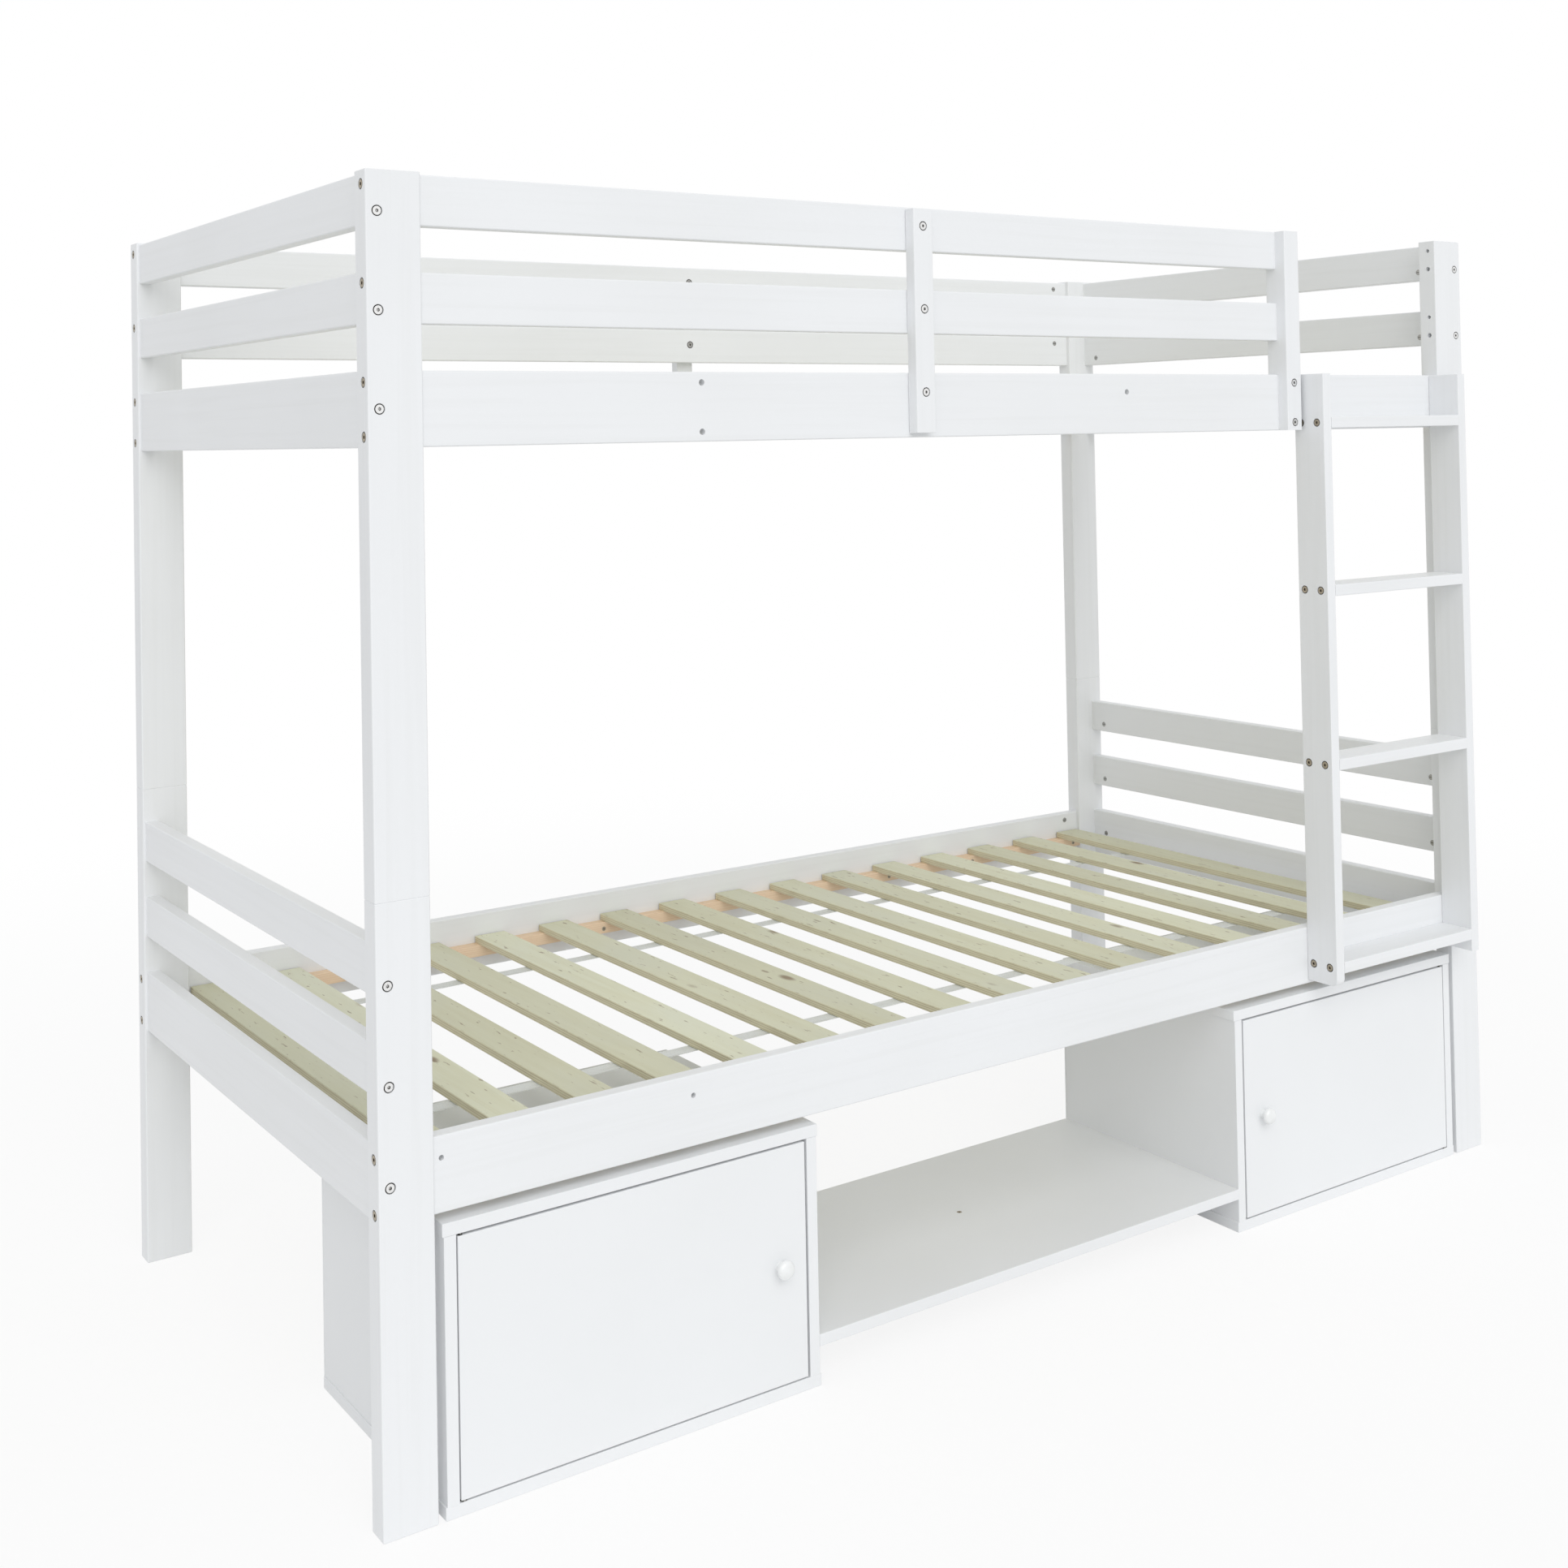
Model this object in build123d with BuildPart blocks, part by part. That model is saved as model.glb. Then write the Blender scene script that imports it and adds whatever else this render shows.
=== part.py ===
"""Bunk bed with a fixed ladder and two cupboards joined by a shelf under the lower bunk.

The origin is on the floor, under the middle of the overall box. +X runs along the bed towards the
ladder, +Y runs from the ladder side to the back and +Z is up. Sizes are in millimetres.
"""
import os
from collections import namedtuple

from build123d import *

os.makedirs("parts", exist_ok=True)

# Posts
bed_length = 2070.0
bed_width = 978.0
post_width = 70.0
post_depth = 34.0
post_cap = 3.0
post_joint_rise = 51.0
post_edge_radius = 2.0
post_end_chamfer = 0.8

# Rails
rail_thickness = 21.0
wide_rail_height = 92.0
narrow_rail_height = 62.0
rail_gap = 56.0
rail_inset = 4.0
lower_bunk_height = 362.0
bunk_spacing = 914.0
board_edge_radius = 2.0

# Rows of fixings in the ends of the rails
row_below_top = 14.0
wide_row_above_bottom = 13.0
narrow_row_above_bottom = 15.5

# Bolts with flush heads
bolt_radius = 3.0
bolt_clearance = 0.4
bolt_tip = 3.0
head_radius = 6.2
head_thickness = 2.2
head_clearance = 0.6
head_sink = 0.3
head_chamfer = 0.9
socket_size = 4.0
socket_depth = 1.6

# Nuts: barrel nuts across the rails, sleeve nuts behind the guard uprights
nut_radius = 5.0
nut_length = 16.0
nut_inset = 35.0
nut_slot_width = 1.2
nut_slot_depth = 1.0
nut_clearance = 0.1
sleeve_radius = 4.2
sleeve_length = 13.0
sleeve_engagement = 10.0
thread_clearance = 0.1

# Wooden dowels and the steel pins between the lower and the upper posts
dowel_radius = 4.0
dowel_length = 30.0
dowel_post_depth = 12.0
dowel_clearance = 0.1
dowel_chamfer = 0.6
pin_radius = 5.0
pin_length = 60.0
pin_pitch = 36.0

# Guard uprights
upright_width = 34.0
upright_thickness = 20.0
upright_bottom_margin = 6.0
upright_top_margin = 3.0
upright_bolt_drop = 28.0

# Slats, the ledgers under their ends and the tapes that space them
slat_count = 16
slat_width = 57.0
slat_thickness = 12.0
slat_post_gap = 4.25
slat_end_gap = 2.5
slat_edge_radius = 1.5
ledger_size = 20.0
ledger_rise = 23.5
ledger_post_gap = 10.0
ledger_edge_radius = 1.0
screw_row_pitch = 217.5
screw_row_count = 7
screw_row_end = 20.0
screw_row_drop = 11.5
tape_width = 25.0
tape_thickness = 1.0
tape_gap = 0.3
tape_inset = 202.5
tape_end_inset = 8.0

# Countersunk wood screws
screw_radius = 2.0
screw_length = 34.0
screw_head_radius = 4.0
screw_clearance = 0.1
screw_cross_width = 0.9
screw_cross_depth = 1.2
countersink_angle = 90.0

# Ladder
ladder_width = 372.5
ladder_depth = 60.5
ladder_post_gap = 1.5
ladder_upright_gap = 5.0
ladder_foot_rise = 6.0
ladder_bolt_rise = 65.5
ladder_bolt_grip = 36.0
stringer_thickness = 19.0
stringer_corner_radius = 12.0
stringer_edge_radius = 1.5
tread_thickness = 18.5
tread_edge_radius = 1.5
lowest_tread_rise = 29.0
highest_tread_drop = 80.5
tread_shares = (0.0, 0.3706, 0.6906, 1.0)
tread_bolt_back = 12.5
tread_bolt_pitch = 33.0
tread_bolt_grip = 45.0

# Cupboards and the shelf between them
cupboard_width = 548.0
cupboard_height = 350.0
cupboard_depth = 400.0
cupboard_post_gap = 9.0
panel_thickness = 16.0
panel_overhang = 2.0
panel_edge_radius = 0.8
back_thickness = 3.0
back_margin = 2.0
panel_dowel_inset = 60.0
panel_dowel_depth = 11.0
shelf_rise = 52.0
foot_radius = 20.0
foot_chamfer = 2.0

# Doors and their pivots
door_hinge_gap = 2.0
door_free_gap = 3.5
door_top_gap = 3.0
door_bottom_gap = 2.0
door_edge_radius = 1.0
pivot_inset = 4.5
pivot_radius = 2.0
pivot_board_depth = 11.0
pivot_door_depth = 10.0
pivot_clearance = 0.05
bush_wall = 1.2
bush_length = 12.0
collar_radius = 4.0
collar_gap = 0.1

# Knobs and magnetic catches
knob_inset = 42.0
knob_radius = 13.0
knob_reach = 20.0
knob_neck_radius = 6.5
knob_foot_radius = 8.0
knob_rim_height = 12.0
knob_crown = 1.0
knob_screw_grip = 10.0
knob_screw_head = 1.8
catch_length = 32.0
catch_depth = 13.0
catch_height = 12.0
catch_inset = 12.0
catch_gap = 0.4
strike_length = 26.0
strike_height = 8.0
strike_thickness = 1.0
strike_drop = 1.0

# Planes that everything is set out from
front_reach = ladder_depth - rail_inset
back_reach = upright_thickness - rail_inset
y_front = front_reach - (front_reach + bed_width + back_reach) / 2
y_back = y_front + bed_width
y_middle = (y_front + y_back) / 2
y_rail_front = y_front + rail_inset
y_rail_back = y_back - rail_inset
x_post = bed_length / 2
x_inner = x_post - post_width
end_rail_length = bed_width - 2 * post_depth

Rail = namedtuple("Rail", "frame length height bolts dowels reaches")
Bore = namedtuple("Bore", "x z radius")


def rail_levels(bunk_height):
    """Lower edge and height of the three rails of a bunk, from the lowest up."""
    middle = bunk_height + wide_rail_height + rail_gap
    top = middle + narrow_rail_height + rail_gap
    return ((bunk_height, wide_rail_height), (middle, narrow_rail_height), (top, narrow_rail_height))


upper_bunk_height = lower_bunk_height + bunk_spacing
upper_wide_top = upper_bunk_height + wide_rail_height
lower_top, upper_top = [sum(rail_levels(bunk)[-1]) for bunk in (lower_bunk_height, upper_bunk_height)]
post_joint = lower_top + post_joint_rise
post_top = upper_top + post_cap
bunks = (("lower", lower_bunk_height), ("upper", upper_bunk_height))

# Ladder bay and the upright beside it
x_ladder_right = x_inner - ladder_post_gap
x_ladder_left = x_ladder_right - ladder_width
x_opening_right = x_ladder_left - ladder_upright_gap
x_opening_left = x_opening_right - upright_width
x_opening = (x_opening_left + x_opening_right) / 2
x_guard = (x_opening_left - x_inner) / 2
x_stringers = (x_ladder_left + stringer_thickness / 2, x_ladder_right - stringer_thickness / 2)
ladder_bottom = lower_bunk_height + ladder_foot_rise
lowest_tread = ladder_bottom + lowest_tread_rise
highest_tread = upper_wide_top - highest_tread_drop
tread_middles = [lowest_tread + share * (highest_tread - lowest_tread) for share in tread_shares]
tread_bolt_rows = [y_rail_front - tread_bolt_back - row * tread_bolt_pitch for row in (0, 1)]

# Sizes of the bores
bolt_bore = bolt_radius + bolt_clearance
thread_bore = bolt_radius + thread_clearance
head_bore = head_radius + head_clearance
head_bore_depth = head_thickness + head_sink
nut_bore = nut_radius + nut_clearance
sleeve_bore = sleeve_radius + nut_clearance
dowel_bore = dowel_radius + dowel_clearance
screw_bore = screw_radius + screw_clearance
nut_bolt_depth = nut_inset + nut_radius + bolt_tip


def fixing_rows(height, across):
    """Heights of the bolts and the dowels in a rail, from its lower edge.

    Rails across the bed have the two swapped, so that their bolts pass clear of the others.
    """
    upper = height - row_below_top
    if height == wide_rail_height:
        rows = ((wide_row_above_bottom, upper), (height / 2,))
    else:
        rows = ((upper,), (narrow_row_above_bottom,))
    return rows[::-1] if across else rows


def side_rail(outward, bottom, height, x_end=x_inner, end_reach=post_width):
    """Describe a rail along the bed, at the front (outward is -1) or at the back (+1)."""
    y_outer = y_rail_front if outward < 0 else y_rail_back
    frame = Plane(((x_end - x_inner) / 2, y_outer, bottom), x_dir=(-outward, 0, 0), z_dir=(0, 0, 1))
    return Rail(frame, x_inner + x_end, height, *fixing_rows(height, False), (post_width, end_reach))


def end_rail(outward, bottom, height):
    """Describe a rail across the bed, at the left end (outward is -1) or at the right end (+1)."""
    origin = (outward * (x_post - rail_inset), y_middle, bottom)
    frame = Plane(origin, x_dir=(0, outward, 0), z_dir=(0, 0, 1))
    return Rail(frame, end_rail_length, height, *fixing_rows(height, True), (post_depth, post_depth))


def placed(frame, point, z_dir, x_dir=None):
    """Give the location of a point and direction that are written in a rail's own frame."""
    return frame.location * Plane(point, x_dir=x_dir, z_dir=z_dir).location


def end_places(rail, heights, beyond=0.0, reaches=False):
    """Locations at both ends of a rail, facing out along it, optionally past what it butts against."""
    places = []
    for side, reach in zip((-1, 1), rail.reaches):
        x_end = side * (rail.length / 2 + beyond + (reach if reaches else 0))
        places += [placed(rail.frame, (x_end, rail_thickness / 2, z), (side, 0, 0)) for z in heights]
    return places


def inner_places(rail, points, sink=0.0):
    """Locations on a rail's inner face, facing into the bed, for points given along and up the rail."""
    y_face = rail_thickness - sink
    return [placed(rail.frame, (x, y_face, z), (0, 1, 0), (1, 0, 0)) for x, z in points]


def nut_places(rail):
    """Locations of the visible ends of the barrel nuts in a rail."""
    x_nut = rail.length / 2 - nut_inset
    return inner_places(rail, [(side * x_nut, z) for side in (-1, 1) for z in rail.bolts])


def screw_points(rail):
    """Points on a side rail where the ledger is screwed on."""
    z_row = ledger_rise + ledger_size - screw_row_drop
    x_last = rail.length / 2 - ledger_post_gap - screw_row_end
    middle = (screw_row_count - 1) / 2
    inner = [(step - middle) * screw_row_pitch for step in range(screw_row_count)]
    return [(x, z_row) for x in (-x_last, *inner, x_last)]


def write_rails(name, rails, bores=(), ledger=False):
    """Write one node that holds the given rails with their bores; through bores are recessed inside."""
    with BuildPart() as piece:
        for rail in rails:
            with BuildSketch(Plane(placed(rail.frame, (-rail.length / 2, 0, 0), (1, 0, 0), (0, 1, 0)))):
                with Locations((rail_thickness / 2, rail.height / 2)):
                    RectangleRounded(rail_thickness, rail.height, board_edge_radius)
            extrude(amount=rail.length)
            with Locations(*end_places(rail, rail.bolts)):
                Hole(bolt_bore, nut_bolt_depth + bolt_clearance)
            with Locations(*end_places(rail, rail.dowels)):
                Hole(dowel_bore, dowel_length - dowel_post_depth + dowel_clearance)
            with Locations(*nut_places(rail)):
                Hole(nut_bore, nut_length + nut_clearance)
            for bore in bores:
                with Locations(*inner_places(rail, [(bore.x, bore.z)])):
                    CounterBoreHole(bore.radius, head_bore, head_bore_depth, rail_thickness)
            if ledger:
                with Locations(*inner_places(rail, screw_points(rail))):
                    Hole(screw_bore, screw_length - ledger_size + screw_clearance)
    piece.part.label = name
    export_step(piece.part, f"parts/{name}.step")


def write_post(name, side, outward, bunk_height, side_levels, bottom, top):
    """Write one section of a corner post, bored for the rails that meet it."""
    x_outer = side * x_post
    y_outer = y_front if outward < 0 else y_back
    x_mid = x_outer - side * post_width / 2
    y_mid = y_outer - outward * post_depth / 2
    x_bore = x_outer - side * (rail_inset + rail_thickness / 2)
    y_bore = y_outer - outward * (rail_inset + rail_thickness / 2)
    z_joint = post_joint
    into_joint = (0, 0, 1) if top == post_joint else (0, 0, -1)
    side_bolts, side_dowels, end_bolts, end_dowels = [], [], [], []
    for level, (rail_bottom, height) in enumerate(rail_levels(bunk_height)):
        bolts, dowels = fixing_rows(height, True)
        end_bolts += [rail_bottom + row for row in bolts]
        end_dowels += [rail_bottom + row for row in dowels]
        if level in side_levels:
            bolts, dowels = fixing_rows(height, False)
            side_bolts += [rail_bottom + row for row in bolts]
            side_dowels += [rail_bottom + row for row in dowels]
    with BuildPart() as piece:
        with BuildSketch(Plane.XY.offset(bottom)):
            with Locations((x_mid, y_mid)):
                RectangleRounded(post_width, post_depth, post_edge_radius)
        extrude(amount=top - bottom)
        chamfer(piece.faces().filter_by(Axis.Z).edges(), post_end_chamfer)
        with Locations(*[Plane((x_outer, y_bore, z), z_dir=(side, 0, 0)) for z in side_bolts]):
            CounterBoreHole(bolt_bore, head_bore, head_bore_depth, post_width)
        with Locations(*[Plane((x_bore, y_outer, z), z_dir=(0, outward, 0)) for z in end_bolts]):
            CounterBoreHole(bolt_bore, head_bore, head_bore_depth, post_depth)
        with Locations(*[Plane((side * x_inner, y_bore, z), z_dir=(-side, 0, 0)) for z in side_dowels]):
            Hole(dowel_bore, dowel_post_depth + dowel_clearance)
        y_face = y_outer - outward * post_depth
        with Locations(*[Plane((x_bore, y_face, z), z_dir=(0, -outward, 0)) for z in end_dowels]):
            Hole(dowel_bore, dowel_post_depth + dowel_clearance)
        with Locations(Plane((x_mid, y_mid, z_joint), z_dir=into_joint)):
            with GridLocations(pin_pitch, 0, 2, 1):
                Hole(pin_radius + dowel_clearance, pin_length / 2 + dowel_clearance)
    piece.part.label = name
    export_step(piece.part, f"parts/{name}.step")


def write_group(name, pieces):
    """Write one node of separate solids: pairs of a shape and the locations of its copies."""
    with BuildPart() as group:
        for shape, places in pieces:
            with Locations(*places):
                add(shape)
    group.part.label = name
    export_step(group.part, f"parts/{name}.step")


def make_bolt(length):
    """Make a bolt with its head above the origin and its shank down -Z."""
    with BuildPart() as bolt:
        with BuildSketch():
            Circle(head_radius)
        extrude(amount=head_thickness)
        chamfer(bolt.edges().group_by(Axis.Z)[-1], head_chamfer)
        with BuildSketch():
            Circle(bolt_radius)
        extrude(amount=-length)
        with BuildSketch(Plane.XY.offset(head_thickness)):
            RegularPolygon(socket_size / 2, 6, major_radius=False)
        extrude(amount=-socket_depth, mode=Mode.SUBTRACT)
    return bolt.part


def make_screw(length):
    """Make a countersunk wood screw with its head flush with the origin and its shank down -Z."""
    with BuildPart() as screw:
        with BuildSketch(Plane.XZ):
            with BuildLine():
                Polyline(
                    (0, 0),
                    (screw_head_radius, 0),
                    (screw_radius, screw_radius - screw_head_radius),
                    (screw_radius, 2 * screw_radius - length),
                    (0, -length),
                    close=True,
                )
            make_face()
        revolve(axis=Axis.Z)
        with BuildSketch():
            Rectangle(screw_head_radius, screw_cross_width)
            Rectangle(screw_cross_width, screw_head_radius)
        extrude(amount=-screw_cross_depth, mode=Mode.SUBTRACT)
    return screw.part


def make_rod(radius, upper, lower):
    """Make a dowel or pin along Z that reaches up and down from the origin."""
    with BuildPart() as rod:
        with BuildSketch(Plane.XY.offset(-lower)):
            Circle(radius)
        extrude(amount=upper + lower)
        chamfer(rod.edges(), dowel_chamfer)
    return rod.part


# Corner posts, each in a lower and an upper section
for side, end_name in ((-1, "left"), (1, "right")):
    for outward, face_name in ((-1, "front"), (1, "back")):
        corner = f"post_{face_name}_{end_name}"
        write_post(f"{corner}_lower", side, outward, lower_bunk_height, (0,), 0, post_joint)
        write_post(f"{corner}_upper", side, outward, upper_bunk_height, (0, 1, 2), post_joint, post_top)

# Bores in the side rails, mirrored so that the ladder can stand at either end
guard_drop_wide = wide_rail_height - upright_bolt_drop
guard_drop_narrow = narrow_rail_height - upright_bolt_drop
opening_rows = (wide_row_above_bottom, wide_rail_height - row_below_top)
guard_bores = [Bore(x, guard_drop_wide, sleeve_bore) for x in (x_guard, -x_guard)]
opening_bores = [Bore(x, z, sleeve_bore) for x in (x_opening, -x_opening) for z in opening_rows]
foot_bores = [Bore(side * x, ladder_bolt_rise, bolt_bore) for side in (-1, 1) for x in x_stringers]
head_bores = [Bore(x, ladder_bolt_rise, bolt_bore) for x in x_stringers]
middle_bore = [Bore(0, guard_drop_narrow, sleeve_bore)]

# Rails along the bed
wide_rails = {
    (face_name, bunk_name): side_rail(outward, bunk_height, wide_rail_height)
    for outward, face_name in ((-1, "front"), (1, "back"))
    for bunk_name, bunk_height in bunks
}
wide_bores = {
    ("front", "lower"): foot_bores,
    ("front", "upper"): guard_bores + opening_bores + head_bores,
    ("back", "lower"): (),
    ("back", "upper"): [Bore(0, guard_drop_wide, sleeve_bore)],
}
for (face_name, bunk_name), rail in wide_rails.items():
    write_rails(f"side_rail_{face_name}_{bunk_name}", [rail], wide_bores[face_name, bunk_name], ledger=True)

# Guard rails along the upper bunk; the front ones stop at the ladder's opening
guard_levels = dict(zip(("middle", "top"), rail_levels(upper_bunk_height)[1:]))
front_guards = {
    level: side_rail(-1, bottom, height, x_opening_left, upright_width)
    for level, (bottom, height) in guard_levels.items()
}
back_guards = {level: side_rail(1, bottom, height) for level, (bottom, height) in guard_levels.items()}
for level in guard_levels:
    write_rails(f"guard_rail_front_{level}", [front_guards[level]], middle_bore)
    write_rails(f"guard_rail_back_{level}", [back_guards[level]], middle_bore)

# Rails across the ends, a wide one and a pair of guards for each bunk
end_rails = []
for side, end_name in ((-1, "left"), (1, "right")):
    for bunk_name, bunk_height in bunks:
        wide, *narrow = [end_rail(side, bottom, height) for bottom, height in rail_levels(bunk_height)]
        write_rails(f"end_rail_{end_name}_{bunk_name}", [wide])
        write_rails(f"end_guards_{end_name}_{bunk_name}", narrow)
        end_rails += [wide, *narrow]

# Guard uprights outside the rails, in the middle of the front guard and of the back
for name, x_mid, outward in (("front", x_guard, -1), ("back", 0.0, 1)):
    y_outer = y_rail_front - upright_thickness if outward < 0 else y_rail_back + upright_thickness
    z_bottom = upper_bunk_height + upright_bottom_margin
    z_bolts = [bottom + height - upright_bolt_drop for bottom, height in rail_levels(upper_bunk_height)]
    with BuildPart() as guard_upright:
        with BuildSketch(Plane.XY.offset(z_bottom)):
            with Locations((x_mid, y_outer - outward * upright_thickness / 2)):
                RectangleRounded(upright_width, upright_thickness, board_edge_radius)
        extrude(amount=upper_top - upright_top_margin - z_bottom)
        chamfer(guard_upright.faces().filter_by(Axis.Z).edges(), post_end_chamfer)
        with Locations(*[Plane((x_mid, y_outer, z), z_dir=(0, outward, 0)) for z in z_bolts]):
            CounterBoreHole(bolt_bore, head_bore, head_bore_depth, upright_thickness)
    guard_upright.part.label = f"guard_upright_{name}"
    export_step(guard_upright.part, f"parts/guard_upright_{name}.step")

# Upright beside the ladder: it ends the front guard rails and stands over the wide rail
y_opening_front = y_rail_front - upright_thickness
opening_depth = upright_thickness + rail_thickness
guard_bolt_heights = []
guard_dowel_heights = []
for bottom, height in guard_levels.values():
    bolts, dowels = fixing_rows(height, False)
    guard_bolt_heights += [bottom + row for row in bolts]
    guard_dowel_heights += [bottom + row for row in dowels]
with BuildPart() as opening_upright:
    with BuildSketch(Plane.XY.offset(upper_bunk_height)):
        with Locations((x_opening, y_opening_front + opening_depth / 2)):
            RectangleRounded(upright_width, opening_depth, board_edge_radius)
    extrude(amount=upper_top - upper_bunk_height)
    with BuildSketch(Plane.XY.offset(upper_bunk_height)):
        with Locations((x_opening, y_rail_front + rail_thickness / 2)):
            Rectangle(upright_width, rail_thickness)
    extrude(amount=wide_rail_height, mode=Mode.SUBTRACT)
    for z in opening_rows:
        with Locations(Plane((x_opening, y_opening_front, upper_bunk_height + z), z_dir=(0, -1, 0))):
            CounterBoreHole(bolt_bore, head_bore, head_bore_depth, upright_thickness)
    y_bore = y_rail_front + rail_thickness / 2
    with Locations(*[Plane((x_opening_right, y_bore, z), z_dir=(1, 0, 0)) for z in guard_bolt_heights]):
        CounterBoreHole(bolt_bore, head_bore, head_bore_depth, upright_width)
    with Locations(*[Plane((x_opening_left, y_bore, z), z_dir=(-1, 0, 0)) for z in guard_dowel_heights]):
        Hole(dowel_bore, dowel_post_depth + dowel_clearance)
opening_upright.part.label = "ladder_opening_upright"
export_step(opening_upright.part, "parts/ladder_opening_upright.step")

# Ledgers screwed inside the side rails
ledger_length = 2 * (x_inner - ledger_post_gap)
with BuildPart() as slat_ledgers:
    for rail in wide_rails.values():
        start = placed(rail.frame, (-ledger_length / 2, rail_thickness, ledger_rise), (1, 0, 0), (0, 1, 0))
        with BuildSketch(Plane(start)):
            with Locations((ledger_size / 2, ledger_size / 2)):
                RectangleRounded(ledger_size, ledger_size, ledger_edge_radius)
        extrude(amount=ledger_length)
        with Locations(*inner_places(rail, screw_points(rail), -ledger_size)):
            CounterSinkHole(screw_bore, screw_head_radius + screw_clearance, ledger_size, countersink_angle)
slat_ledgers.part.label = "slat_ledgers"
export_step(slat_ledgers.part, "parts/slat_ledgers.step")

# Slats laid on the ledgers, and the tapes under them
slat_length = bed_width - 2 * (rail_inset + rail_thickness + slat_end_gap)
slat_pitch = (2 * (x_inner - slat_post_gap) - slat_width) / (slat_count - 1)
slat_rise = ledger_rise + ledger_size
for bunk_name, bunk_height in bunks:
    end_point = (0, y_middle + slat_length / 2, bunk_height + slat_rise)
    slat_ends = Plane(end_point, x_dir=(1, 0, 0), z_dir=(0, -1, 0))
    with BuildPart() as slats:
        with BuildSketch(slat_ends):
            with Locations((0, slat_thickness / 2)):
                with GridLocations(slat_pitch, 0, slat_count, 1):
                    RectangleRounded(slat_width, slat_thickness, slat_edge_radius)
        extrude(amount=slat_length)
    slats.part.label = f"slats_{bunk_name}"
    export_step(slats.part, f"parts/slats_{bunk_name}.step")

tape_length = 2 * (x_inner - slat_post_gap - tape_end_inset)
with BuildPart() as slat_tapes:
    for bunk_name, bunk_height in bunks:
        z_tape = bunk_height + slat_rise - tape_gap - tape_thickness
        with BuildSketch(Plane((0, y_middle, z_tape))):
            with GridLocations(0, slat_length - 2 * tape_inset, 1, 2):
                Rectangle(tape_length, tape_width)
        extrude(amount=tape_thickness)
slat_tapes.part.label = "slat_tapes"
export_step(slat_tapes.part, "parts/slat_tapes.step")

# Ladder stringers, rounded at the top of their front edges
for side, name, x_mid in zip((-1, 1), ("left", "right"), x_stringers):
    with BuildPart() as stringer:
        with BuildSketch(Plane.YZ.offset(x_mid - stringer_thickness / 2)) as profile:
            with Locations((y_rail_front, ladder_bottom)):
                Rectangle(ladder_depth, upper_wide_top - ladder_bottom, align=(Align.MAX, Align.MIN))
            top_front = profile.vertices().group_by(Axis.Z)[-1].sort_by(Axis.Y)[0]
            fillet(top_front, stringer_corner_radius)
        extrude(amount=stringer_thickness)
        fillet(stringer.faces().filter_by(Axis.X).edges(), stringer_edge_radius)
        x_face = x_mid + side * stringer_thickness / 2
        places = [Plane((x_face, y, z), z_dir=(side, 0, 0)) for y in tread_bolt_rows for z in tread_middles]
        with Locations(*places):
            CounterBoreHole(bolt_bore, head_bore, head_bore_depth, stringer_thickness)
        z_bolts = [bunk_height + ladder_bolt_rise for _, bunk_height in bunks]
        with Locations(*[Plane((x_mid, y_rail_front, z), z_dir=(0, 1, 0)) for z in z_bolts]):
            Hole(thread_bore, ladder_bolt_grip + thread_clearance)
    stringer.part.label = f"ladder_stringer_{name}"
    export_step(stringer.part, f"parts/ladder_stringer_{name}.step")

# Ladder treads
tread_length = ladder_width - 2 * stringer_thickness
x_tread = x_ladder_left + stringer_thickness
with BuildPart() as ladder_treads:
    for z_mid in tread_middles:
        with BuildSketch(Plane.YZ.offset(x_tread)):
            with Locations((y_rail_front - ladder_depth / 2, z_mid)):
                RectangleRounded(ladder_depth, tread_thickness, tread_edge_radius)
        extrude(amount=tread_length)
    for x_face, out in ((x_tread, -1), (x_tread + tread_length, 1)):
        places = [Plane((x_face, y, z), z_dir=(out, 0, 0)) for y in tread_bolt_rows for z in tread_middles]
        with Locations(*places):
            Hole(thread_bore, tread_bolt_grip + thread_clearance)
ladder_treads.part.label = "ladder_treads"
export_step(ladder_treads.part, "parts/ladder_treads.step")

# Heights in a cupboard, and its walls along the bed measured out from the bed's middle
z_roof = cupboard_height - panel_thickness
x_case_far = x_inner - cupboard_post_gap
x_case_near = x_case_far - cupboard_width
x_side_far = x_case_far - panel_overhang - panel_thickness
x_side_near = x_case_near + panel_overhang
x_bay_near = x_side_near + panel_thickness
panel_depth = cupboard_depth - back_thickness
panel_dowel_rows = (y_front + panel_dowel_inset, y_front + panel_depth - panel_dowel_inset)
side_middles = (x_side_near + panel_thickness / 2, x_side_far + panel_thickness / 2)
dowel_side_depth = dowel_length - panel_dowel_depth
z_shelf = shelf_rise + panel_thickness / 2

# Doors
x_door_hinge = x_side_far - door_hinge_gap
x_door_free = x_bay_near + door_free_gap
z_door_bottom = panel_thickness + door_bottom_gap
z_door_top = z_roof - door_top_gap
z_door_middle = (z_door_bottom + z_door_top) / 2
x_pivot = x_door_hinge - pivot_inset
y_pivot = y_front + pivot_inset
y_door_back = y_front + panel_thickness
bush_bore = pivot_radius + pivot_clearance
bush_radius = bush_bore + bush_wall
x_knob = x_door_free + knob_inset
x_catch = x_bay_near + catch_inset + catch_length / 2
y_catch = y_door_back + strike_thickness + catch_gap
z_strike = z_door_top - strike_drop - strike_height / 2


def panel_dowels(side, z_level):
    """Points of the dowels between a cupboard's sides and one of its boards."""
    return [(side * x, y, z_level) for x in side_middles for y in panel_dowel_rows]


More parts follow.
